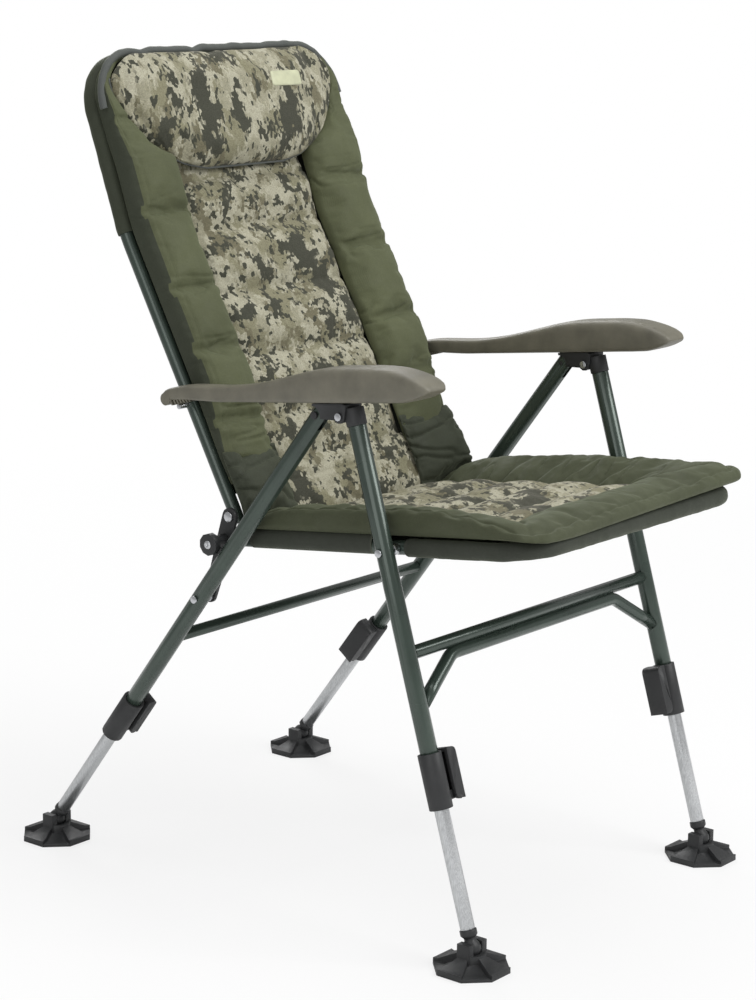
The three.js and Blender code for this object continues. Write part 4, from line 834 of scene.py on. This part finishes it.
centre_pad(
    "seat_centre_pad", "seat", "seat_pad", (60, 80), on_seat, (SEAT_PAD_FRONT, SEAT_PAD_REAR), SEAT_PAD_HALF,
    seat_taper, SEAT_PAD_HEIGHT, 0.0075, 8, (-0.62, -0.2, 0.22, 0.62), (0.055, 0.02, 0.009, 0.10),
    (0.05, 0.025, 0.05), 3)


# The olive surround of the seat is one cushion in a U. Its place t runs from -1.5 at the rear on
# the sitter's right, round both front corners at -0.5 and 0.5, to 1.5 at the rear on the left.

# Distance across, distance forward and corner radius of each edge
SURROUND_INNER = (0.169, 0.432, 0)
SURROUND_OUTER = (0.262, 0.546, 0.028)
SURROUND_REAR = 0.034
# Heights of the outer and the inner edge over the tubes' axes, by distance forward
OUTER_ALONG = (0.034, 0.100, 0.160, 0.270, 0.378, 0.442, 0.505, 0.546)
OUTER_UP_RIGHT = (0.030, 0.046, 0.050, 0.053, 0.056, 0.046, 0.030, 0.021)
OUTER_UP_LEFT = (0.028, 0.043, 0.045, 0.049, 0.048, 0.043, 0.039, 0.037)
INNER_ALONG = (0.034, 0.110, 0.200, 0.330, 0.432)
INNER_UP = (0.010, 0.020, 0.022, 0.020, 0.022)
TUCK_PLACES = (-1.32, -1.1, -0.87, -0.68, 0.66, 0.78, 0.93, 1.05, 1.2, 1.34)
TUCK_WIDTHS = np.array((0.03, 0.02, 0.028, 0.02, 0.022, 0.03, 0.02, 0.026, 0.02, 0.03))


def surround_edge(t, x_edge, front, radius):
    """A point (x, along) of the U's inner or outer edge."""
    x = np.clip(t / 0.5, -1, 1) * x_edge
    along = lerp(SURROUND_REAR, front, np.clip(1.5 - np.abs(t), 0, 1))
    corner = radius * (1 - smooth(np.abs(np.abs(t) - 0.5), 0, max(radius * 1.9, 1e-9)))
    return x - np.sign(x) * corner * 0.29, along - corner * 0.29


def seat_surround():
    def place(u, v, side):
        t = v * 1.5
        inner_x, inner_along = surround_edge(t, *SURROUND_INNER)
        outer_x, outer_along = surround_edge(t, *SURROUND_OUTER)
        share = (u + 1) / 2
        across = np.clip((outer_x / SURROUND_OUTER[0] + 1) / 2, 0, 1)
        outer_up = lerp(
            np.interp(outer_along, OUTER_ALONG, OUTER_UP_RIGHT),
            np.interp(outer_along, OUTER_ALONG, OUTER_UP_LEFT), across)
        front = 1 - smooth(np.abs(t), 0.3, 0.62)
        inner_rim = 0.012 + 0.006 * front
        outer_rim = lerp(lerp(0.020, outer_up - 0.012, 0.6), outer_up - 0.009, front)
        rim = lerp(inner_rim, outer_rim, share)
        full = rise(np.minimum(0, u), 5) * rise(np.maximum(0, u), 12) * rise(v, 60)
        pinched = tucks(t, TUCK_PLACES, TUCK_WIDTHS) * (1 - smooth(share, 0.05, 0.75))
        crown = (0.009 + 0.003 * front) * (1 - u * u)
        top = lerp(np.interp(inner_along, INNER_ALONG, INNER_UP), outer_up, share ** 1.15)
        low = lerp(TUBE_TOP + 0.001, lerp(0.018, outer_up - 0.018, front), share ** 3)
        up = np.where(side > 0, top + crown - 0.012 * pinched, np.minimum(low, rim))
        return on_seat(
            lerp(inner_x, outer_x, share), lerp(inner_along, outer_along, share), lerp(rim, up, full))

    def seams(u, v):
        pinched = tucks(v * 1.5, TUCK_PLACES, TUCK_WIDTHS * 0.5) * (u < -0.2)
        return np.maximum(rim_seam(u, v, 0.94, 0.992), pinched)

    def detail(points, u, v):
        t = v * 1.5
        sides = smooth(np.abs(t), 0.5, 0.62)
        inner = 1 - smooth(u, -0.3, 0.9)
        crease = creased(points, (0.09, 0.022, 0.08), 11) * inner * sides
        wave = ripple(points, (0.07, 0.030, 0.06), 12) * sides
        front = ripple(points, (0.03, 0.06, 0.05), 17, 3) * (1 - sides)
        mitre = bump(np.abs(t), 0.5, 0.012) * smooth(-np.abs(u), -0.97, -0.8)
        topstitch = bump(u, 0.80, 0.035)
        return 0.0022 * wave + 0.0014 * front - 0.0032 * crease - 0.0022 * mitre - 0.0018 * topstitch

    # The surround gets the darker olive: painted shade
    made = cushion("seat_surround", 28, 250, place, OLIVE_SEAT_PAINTED_SHADE)
    nodes = ["seat_bolster_right", "seat_bolster_left", "seat_front_border"]
    fabric(made, "seat", "olive_cloth", nodes, seams, detail, cap=0.006)


seat_surround()


# The cloth that carries the seat: a taut web, and sleeves round its tube

CLOTH_THICKNESS = 0.0009
SLEEVE_RUN = (0.045, 0.268)
SLEEVE_HALF = 0.0117
SLEEVE_TIGHT = 0.01023
SLEEVE_RISE = 0.003
SLEEVE_HEIGHT = 0.0138
FRONT_SLEEVE_START = 0.326
FRONT_SLEEVE_RADIUS = 0.0122
WEB_THICKNESS = 0.0016


def wrapping(name, path, radius, material, seed=61, sides=28):
    """A sleeve of rippled cloth round a tube that follows path."""
    points = as_points(path)
    directions = around(points, sides)
    outer = points[:, None] + directions * radius
    lift = 0.0012 * np.abs(ripple(outer.reshape(-1, 3), (0.03, 0.03, 0.03), seed))
    outer = outer + directions * lift.reshape(-1, sides, 1)
    return two_skins(name, outer, outer - directions * CLOTH_THICKNESS, material, wrap=True)


def seat_sleeves():
    centres = np.linspace(*SLEEVE_RUN, 40)
    plane = np.array([(1, 0, 0), (0, math.sin(SEAT_SLOPE), math.cos(SEAT_SLOPE))])
    turns = circle(32)
    for side, name in SIDES:
        axis = on_seat(side * SIDE_TUBE_X, centres, 0)[:, None]
        # Beside the hinge link the outer side lies close on the tube
        width = np.where(np.cos(turns) * side > 0, SLEEVE_TIGHT, SLEEVE_HALF)
        section = np.stack([np.cos(turns) * width, SLEEVE_RISE + np.sin(turns) * SLEEVE_HEIGHT], -1)
        section = section * np.maximum(1, SLEEVE_TIGHT / np.linalg.norm(section, axis=1)[:, None])
        inset = 1 - CLOTH_THICKNESS / np.linalg.norm(section, axis=1)[:, None]
        outer, inner = (axis + ring @ plane for ring in (section, section * inset))
        fitted(two_skins(f"seat_sleeve_{name}", outer, inner, SLEEVE, wrap=True), "seat", "sling_cloth")
    path = seat_path(FRONT_SLEEVE_START, 0.006)
    fitted(wrapping("seat_front_sleeve", path, FRONT_SLEEVE_RADIUS, SLEEVE), "seat", "sling_cloth")


def web(name, start, bend_start, bend, counts, ahead, place, sag):
    """A thin sheet between the side tubes. It begins at start and ends ahead past bend_start,
    where their bend begins. sag(station) is how far its middle hangs down."""
    stations = np.concatenate([
        np.linspace(start, bend_start, counts[0]), bend_start + ahead * np.linspace(0, 1, counts[1])[1:]])
    share, station = np.meshgrid(np.linspace(-1, 1, 36), stations)
    inner = bend - SIDE_TUBE_RADIUS - 0.0002
    reach = np.sqrt(np.maximum(0, inner ** 2 - np.maximum(0, station - bend_start) ** 2))
    x, down = share * (SIDE_TUBE_X - bend + reach), sag(station) * (1 - share ** 2)
    upper, lower = (place(x, station, off - down) for off in (WEB_THICKNESS / 2, -WEB_THICKNESS / 2))
    return two_skins(name, upper, lower, SLEEVE)


def seat_web():
    obj = web("seat_web", SEAT_PAD_REAR, SEAT_FRONT_TUBE - SEAT_BEND, SEAT_BEND, (40, 10), 0.0505, on_seat,
              lambda along: 0.004 * smooth(along, 0.03, 0.1) * (1 - smooth(along, 0.38, 0.47)))
    fitted(obj, "seat", "sling_cloth", "seat_sling")


seat_sleeves()
seat_web()


# Backrest upholstery

PILLOW_BOTTOM = 0.513
PILLOW_TOP = 0.690
PILLOW_UPS = (0.513, 0.522, 0.535, 0.558, 0.579, 0.602, 0.635, 0.652, 0.664, 0.676, 0.684, 0.690)
PILLOW_HALVES = (0.085, 0.128, 0.158, 0.192, 0.211, 0.226, 0.238, 0.238, 0.229, 0.214, 0.199, 0.180)
PIPING_START = 0.655
PIPING_OUT = 0.032
PIPING_RADIUS = 0.0016
TAG_X = (0.070, 0.140)
TAG_UP = (0.622, 0.645)
TAG_CORNER = 0.004
TAG_THICKNESS = 0.0014
TAG_START = 0.12
BOLSTER_START = 0.040
BOLSTER_TOP = 0.690
BOLSTER_OUTER = 0.255
BOLSTER_INNER = BACK_PAD_HALF - 0.004
BOLSTER_ARCH = 0.079
BOLSTER_UPS = (0.04, 0.063, 0.117, 0.19, 0.45, 0.60, 0.692)
BOLSTER_FRONTS = (0.016, 0.021, 0.034, 0.047, 0.050, 0.049, 0.046)
BOLSTER_TUCKS = {-1: (0.13, 0.235, 0.33, 0.455, 0.59), 1: (0.15, 0.24, 0.36, 0.48, 0.6)}
# Where the side bolsters face further sideways than this, their cloth is the darker olive, as painted shade
SHADED_FLANK_NORMAL = 0.75


def pillow_half_width(up):
    return np.interp(up, PILLOW_UPS, PILLOW_HALVES)


def back_bolster(side, name):
    places = shares(BOLSTER_TUCKS[side], BOLSTER_START, BOLSTER_TOP)

    def place(u, v, skin):
        up = spread(v, BOLSTER_START, BOLSTER_TOP)
        inner = np.maximum(BOLSTER_INNER, pillow_half_width(up) - 0.006)
        inner = np.where(up < PILLOW_BOTTOM, BOLSTER_INNER, inner)
        arch = np.sqrt(np.maximum(0, BOLSTER_ARCH ** 2 - np.maximum(0, up - BACK_BEND_START) ** 2))
        outer = np.minimum(BOLSTER_OUTER, SIDE_TUBE_X - BACK_BEND + arch) - 0.004 * bump(up, 0.04, 0.03)
        centre, half = (inner + outer) / 2, np.maximum(0.004, (outer - inner) / 2)
        narrow = np.minimum(1, 2 * half / (BOLSTER_OUTER - BACK_PAD_HALF))
        full = rise(np.minimum(0, u), 5) * rise(np.maximum(0, u), 12) * rise(v, 40)
        thick = (np.interp(up, BOLSTER_UPS, BOLSTER_FRONTS) - TUBE_TOP) * lerp(0.62, 1, narrow)
        crown = 0.005 * (1 - u * u) * narrow
        dip = 0.008 * tucks(v, places, 0.02) * full * narrow
        rim = TUBE_TOP + thick * lerp(0.3, 0.42, (u + 1) / 2)
        top = TUBE_TOP + thick * lerp(0.93, 1.0, (u + 1) / 2) + crown - dip
        out = lerp(rim, np.where(skin > 0, top, TUBE_TOP), full)
        return on_back(side * (centre + u * half), up, out)

    def seams(u, v):
        return np.maximum(rim_seam(u, v, 0.94, 0.99), tucks(v, places, 0.012))

    def detail(points, u, v):
        low = 1 - smooth(v, -0.85, -0.55)
        fold = np.clip(tucks(v, places, 0.06) + low, 0, 1) * (1 - 0.5 * smooth(u, 0, 0.9))
        crease = creased(points, (0.11, 0.035, 0.018), 41 + side) * fold
        broad = ripple(points, (0.07, 0.07, 0.09), 43 + side)
        fine = ripple(points, (0.05, 0.02, 0.016), 47 + side) * fold
        return 0.0014 * broad + 0.0012 * fine - 0.0045 * crease - 0.0012 * bump(u, 0.72, 0.035)

    made = cushion(f"back_side_bolster_{name}", 24, 150, place, OLIVE)
    mesh = made[0].data
    if side < 0:
        mesh.flip_normals()
    # The flanks that face sideways get the darker olive: painted shade
    mesh.materials.append(OLIVE_PAINTED_SHADE)
    for face in mesh.polygons:
        face.material_index = 1 if face.normal.x * side > SHADED_FLANK_NORMAL else 0
    fabric(made, "backrest", "olive_cloth", [f"back_bolster_{name}"], seams, detail, cap=0.006)


def headrest():
    def place(u, v, side):
        up = spread(v, PILLOW_BOTTOM, PILLOW_TOP)
        full = rise(u, 3) * rise(v, 4)
        rim = 0.031 + 0.006 * smooth(v, 0, 1)
        out = np.where(side > 0, rim + 0.026 * full, rim - 0.013 * full)
        notch = 0.003 * bump(u, -0.13, 0.05) * smooth(v, 0.7, 1)
        return on_back(u * pillow_half_width(up), up - notch, out)

    made = cushion("headrest_cushion", 90, 48, place, CAMO_PILLOW)
    pillow = fabric(
        made, "backrest", "camouflage_cloth", ["headrest_pillow"], lambda u, v: rim_seam(u, v, 0.97, 0.96),
        lambda points, u, v: 0.0014 * ripple(points, (0.06, 0.05, 0.04), 51), cap=0.006)
    lower = np.linspace(PIPING_START, PILLOW_BOTTOM, 60)
    half = pillow_half_width(lower)
    path = on_back(np.concatenate([half, -half[::-1]]), np.concatenate([lower, lower[::-1]]), PIPING_OUT)
    fitted(tube("headrest_piping", path, PIPING_RADIUS, BINDING, sides=10), "backrest", "sling_cloth")
    headrest_tag(pillow)


def headrest_tag(pillow):
    """A small bare moulded tag with rounded corners that lies on the pillow."""
    tree = BVHTree.FromPolygons(
        [tuple(p) for p in read(pillow.data.vertices, "co")],
        [tuple(f.vertices) for f in pillow.data.polygons])
    column, row = np.meshgrid(np.linspace(-1, 1, 29), np.linspace(-1, 1, 11))
    half_x, half_up = (TAG_X[1] - TAG_X[0]) / 2, (TAG_UP[1] - TAG_UP[0]) / 2
    inset = np.maximum(0, np.abs(row * half_up) - (half_up - TAG_CORNER))
    reach = half_x - TAG_CORNER + np.sqrt(np.maximum(0, TAG_CORNER ** 2 - inset ** 2))
    x, up = spread(0, *TAG_X) + column * reach, spread(row, *TAG_UP)
    starts = on_back(x, up, TAG_START)
    ahead = (on_back(x, up, 0) - starts) / TAG_START
    hits = as_points([
        tree.ray_cast(Vector(start), Vector(way))[0]
        for start, way in zip(starts.reshape(-1, 3), ahead.reshape(-1, 3))]).reshape(starts.shape)
    lift = TAG_THICKNESS * np.where(np.maximum(np.abs(row), np.abs(column)) > 0.99, 0.6, 1)
    obj = two_skins("headrest_tag", hits - ahead * lift[..., None], hits + ahead * 0.001, TAG)
    fitted(obj, "backrest", "khaki_plastic")


# High up the back's cloth goes round its tube, and a bound edge lies on top of it

WRAP_START = 0.436
WRAP_RADIUS = 0.0120
BOUND_EDGE_START = 0.614
BOUND_EDGE_RADIUS = 0.0058
BOUND_EDGE_OUT = 0.028
BOUND_EDGE_EXTRA = 0.0078


def back_arch(start, extra):
    """Places (x, up) of the back frame's arch from the left over the top to the right, extra
    outside its tube's axis."""
    turns = np.linspace(0, math.pi / 2, 25)
    bend_x = SIDE_TUBE_X - BACK_BEND + (BACK_BEND + extra) * np.cos(turns)
    bend_up = BACK_BEND_START + (BACK_BEND + extra) * np.sin(turns)
    straight = np.linspace(start, BACK_BEND_START, 24)[:-1]
    flat = np.linspace(bend_x[-1], 0, 30)[1:]
    x = np.concatenate([np.full(len(straight), SIDE_TUBE_X + extra), bend_x, flat])
    up = np.concatenate([straight, bend_up, np.full(len(flat), bend_up[-1])])
    return np.concatenate([x, -x[-2::-1]]), np.concatenate([up, up[-2::-1]])


def back_wrap():
    path = on_back(*back_arch(WRAP_START, 0), 0)
    # The wrap is the darker olive: painted shade on the flank
    fitted(wrapping("back_wrap", path, WRAP_RADIUS, OLIVE_PAINTED_SHADE, seed=67), "backrest", "olive_cloth")
    path = densified(on_back(*back_arch(BOUND_EDGE_START, BOUND_EDGE_EXTRA), BOUND_EDGE_OUT), 0.006)
    places = as_points(path)
    wobble = ripple(places, (0.03, 0.03, 0.03), 71)
    notch = bump(places[:, 0], -0.045, 0.010) + bump(places[:, 0], -0.155, 0.012)
    places[:, 2] += 0.0016 * wobble - 0.0035 * notch
    edge = tube("back_bound_edge", places, BOUND_EDGE_RADIUS + 0.0005 * wobble, BINDING, sides=14)
    fitted(edge, "backrest", "sling_cloth")


# The cloth between the back and the seat. It hangs from the back and is crumpled.

FLAP_TOP = 0.064
FLAP_BOTTOM = -0.030
FLAP_HALF = 0.170
FLAP_OUT = 0.0075
CORNER_INNER = 0.142
CORNER_OUTER = 0.257
CORNER_TOP = 0.088
CORNER_BOTTOM_INNER = -0.036
CORNER_BOTTOM_OUTER = -0.020
# Shares of the way from the bottom to the top, and how far the cloth stands out there
CORNER_SHARES = (0, 0.12, 0.28, 0.50, 0.75, 1)
CORNER_FRONT_INNER = (0.016, 0.021, 0.024, 0.026, 0.027, 0.024)
CORNER_FRONT_OUTER = (0.034, 0.044, 0.048, 0.046, 0.040, 0.030)
CORNER_REAR = (0.006, 0.009, 0.012, 0.013, 0.014, 0.018)


def crumpling(obj, anchor_up):
    """Gives the piece its own mesh."""
    top = Vector(on_back(0, anchor_up, 0))
    up = (Vector(on_back(0, 0.1, 0)) - Vector(on_back(0, 0, 0))).normalized()
    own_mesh(obj)


def dark_behind(obj):
    """The skin that faces backwards is of the sling's cloth."""
    obj.data.materials.append(SLEEVE)
    out = Vector(on_back(0, 0, 1)) - Vector(on_back(0, 0, 0))
    for face in obj.data.polygons:
        face.material_index = 1 if face.normal.dot(out) < -0.3 else 0


def lower_flap():
    def place(u, v, side):
        full = rise(u, 24) * rise(v, 6)
        out = FLAP_OUT + np.where(side > 0, 0.0048 * full, -0.0035 * full)
        return on_back(u * FLAP_HALF, spread(v, FLAP_BOTTOM, FLAP_TOP), out)

    def detail(points, u, v):
        return 0.0015 * ripple(points, (0.05, 0.03, 0.03), 81) - 0.0016 * bump(v, 0.25, 0.05)

    made = cushion("back_lower_flap", 60, 20, place, CAMO)
    obj = fabric(made, "backrest", "camouflage_cloth", [], rim_seam, detail, cap=0.003)
    dark_behind(obj)
    crumpling(obj, FLAP_TOP)


def corner_cloth(side, name):
    def place(u, v, skin):
        across, share = (u + 1) / 2, (v + 1) / 2
        up = lerp(lerp(CORNER_BOTTOM_INNER, CORNER_BOTTOM_OUTER, across), CORNER_TOP, share)
        inner = np.interp(share, CORNER_SHARES, CORNER_FRONT_INNER)
        outer = np.interp(share, CORNER_SHARES, CORNER_FRONT_OUTER)
        front = lerp(inner, outer, across ** 0.7)
        rear = np.interp(share, CORNER_SHARES, CORNER_REAR)
        rim = (front + rear) / 2
        full = rise(u, 7) * rise(v, 8)
        out = lerp(rim, np.where(skin > 0, front, rear), full)
        return on_back(side * lerp(CORNER_INNER, CORNER_OUTER, across), up, out)

    def detail(points, u, v):
        fold = creased(points, (0.09, 0.035, 0.020), 91 + side, 4)
        return 0.0035 * ripple(points, (0.05, 0.04, 0.03), 94 + side) - 0.0050 * fold

    # The corner cloth is the darker olive: painted shade between the back and the seat
    made = cushion(f"back_corner_cloth_{name}", 32, 30, place, OLIVE_PAINTED_SHADE)
    if side < 0:
        made[0].data.flip_normals()
    crumpling(fabric(made, "backrest", "olive_cloth", [], rim_seam, detail), CORNER_TOP)


def back_web():
    obj = web("back_web", 0.030, BACK_BEND_START, BACK_BEND, (60, 12), 0.0615, on_back, lambda up: 0.0 * up)
    fitted(obj, "backrest", "sling_cloth", "back_sling")


centre_pad(
    "back_centre_pad", "backrest", "back_pad", (56, 116), on_back, (BACK_PAD_START, BACK_PAD_TOP),
    BACK_PAD_HALF, back_taper, BACK_PAD_HEIGHT, 0.0068, 10, BACK_LINES, (0.038, 0.012, 0.006, 0.07),
    (0.05, 0.04, 0.03), 23)
for side, name in SIDES:
    back_bolster(side, name)
    corner_cloth(side, name)
headrest()
lower_flap()
back_web()
back_wrap()


# Screw heads that show on the outside

# Shares of the head's radius and height, from its hidden foot over the dome into the recess
HEAD_PROFILE = (
    (0.0, -0.4), (0.97, -0.4), (1.0, 0.0), (0.97, 0.35), (0.85, 0.7), (0.62, 0.95), (0.45, 1.0),
    (0.40, 0.92), (0.36, 0.35), (0.0, 0.30))


def screw_head(name, body, centre, side, radius, height):
    """A domed head with a round recess, whose axis runs across the chair."""
    x, y, z = centre
    sides = 32
    turns = circle(sides)
    rings = [np.stack([
        x + side * lift * height + 0 * turns, y + share * radius * np.cos(turns),
        z + share * radius * np.sin(turns)], -1) for share, lift in HEAD_PROFILE[1:-1]]
    hubs = [(x + side * lift * height, y, z) for _, lift in (HEAD_PROFILE[0], HEAD_PROFILE[-1])]
    total = len(rings) * sides
    faces = quads(np.arange(total).reshape(-1, sides), wrap=True)
    for hub, row in ((total, 0), (total + 1, total - sides)):
        faces += [(row + step, row + (step + 1) % sides, hub) for step in range(sides)]
    obj = make_object(name, np.concatenate([*rings, hubs]), faces, STEEL)
    face_outward(obj)
    fitted(obj, body, "steel_hardware")


for side, name in SIDES:
    knob_x, leg_x = (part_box(f"{node}_{name}")[side > 0].x for node in ("axle_knob", "rear_leg"))
    knob, rivet = (knob_x, AXLE.y, AXLE.z), (leg_x - side * 0.0008, REAR_PIVOT.y, REAR_PIVOT.z)
    screw_head(f"knob_screw_{name}", f"knob_{name}", knob, side, 0.0062, 0.0022)
    screw_head(f"rear_pivot_rivet_{name}", "rear_frame", rivet, side, 0.0042, 0.0020)


# Floor, lamps and camera

FLOOR_HALF = 14
CHAIR_MIDDLE = (0, 0, 0.6)
AMBIENT = 0.42


def floor():
    corners = [(x * FLOOR_HALF, y * FLOOR_HALF, 0) for x, y in ((-1, -1), (1, -1), (1, 1), (-1, 1))]
    obj = make_object("floor", corners, [(0, 1, 2, 3)], None)
    shader = Shader("pale_floor", (0, 0, 0), 0.85, Specular_IOR_Level=0.15)
    shader.set(Base_Color=(0.86, 0.86, 0.86, 1))
    place = shader.node("TexCoord").outputs["Object"]
    distance = shader.node("VectorMath", {0: place}, operation="LENGTH").outputs["Value"]
    fade = shader.node("MapRange", {
        "Value": distance, "From Min": 0.5, "From Max": 3.0, "To Min": 0.72, "To Max": 1.0})
    seen = shader.node("LightPath").outputs["Is Camera Ray"]
    mixed = shader.node("MixShader", {
        0: shader.math("MULTIPLY", seen, fade.outputs["Result"]), 1: shader.principled.outputs[0],
        2: shader.node("Emission", {"Color": WHITE}).outputs[0]})
    shader.tree.links.new(mixed.outputs[0], shader.tree.nodes["Material Output"].inputs["Surface"])
    obj.data.materials.append(shader.material)


def lamp(name, place, size, power):
    data = bpy.data.lights.new(name, "AREA")
    data.shape = "RECTANGLE"
    data.size, data.size_y = size
    data.energy = power
    obj = bpy.data.objects.new(name, data)
    obj.location = place
    obj.rotation_euler = (Vector(CHAIR_MIDDLE) - Vector(place)).to_track_quat("-Z", "Y").to_euler()
    bpy.context.scene.collection.objects.link(obj)


def world():
    """Soft grey light all round, in front of a white that only the camera sees."""
    made = bpy.data.worlds.new("studio")
    bpy.context.scene.world = made
    made.use_nodes = True
    tree = made.node_tree
    ambient = tree.nodes["Background"]
    ambient.inputs["Color"].default_value = WHITE
    ambient.inputs["Strength"].default_value = AMBIENT
    mixed = add_node(tree, "MixShader", {
        0: add_node(tree, "LightPath").outputs["Is Camera Ray"], 1: ambient.outputs[0],
        2: add_node(tree, "Background", {"Color": WHITE, "Strength": 1.0}).outputs[0]})
    tree.links.new(mixed.outputs[0], tree.nodes["World Output"].inputs["Surface"])


def camera():
    data = bpy.data.cameras.new("photograph")
    data.sensor_fit = "AUTO"
    data.sensor_width = SENSOR
    data.lens = FOCAL_PIXELS * SENSOR / PHOTO_LONG_SIDE
    obj = bpy.data.objects.new("photograph", data)
    bpy.context.scene.collection.objects.link(obj)
    matrix = Matrix.Translation(CAMERA_PLACE)
    for angle, axis in ((CAMERA_AZIMUTH, "Z"), (90 - CAMERA_ELEVATION, "X"), (CAMERA_ROLL, "Z")):
        matrix = matrix @ Matrix.Rotation(math.radians(angle), 4, axis)
    obj.matrix_world = matrix
    bpy.context.scene.camera = obj


floor()
lamp("key", (0.9, -3.2, 2.9), (2.2, 2.2), 95)
lamp("fill", (-3.4, -1.2, 1.8), (2.0, 2.4), 26)
lamp("rim", (1.8, 2.6, 2.6), (2.0, 2.0), 45)
lamp("top", (0, 0, 3.6), (2.6, 2.6), 38)
world()
camera()
bpy.context.scene.view_settings.view_transform = "Standard"
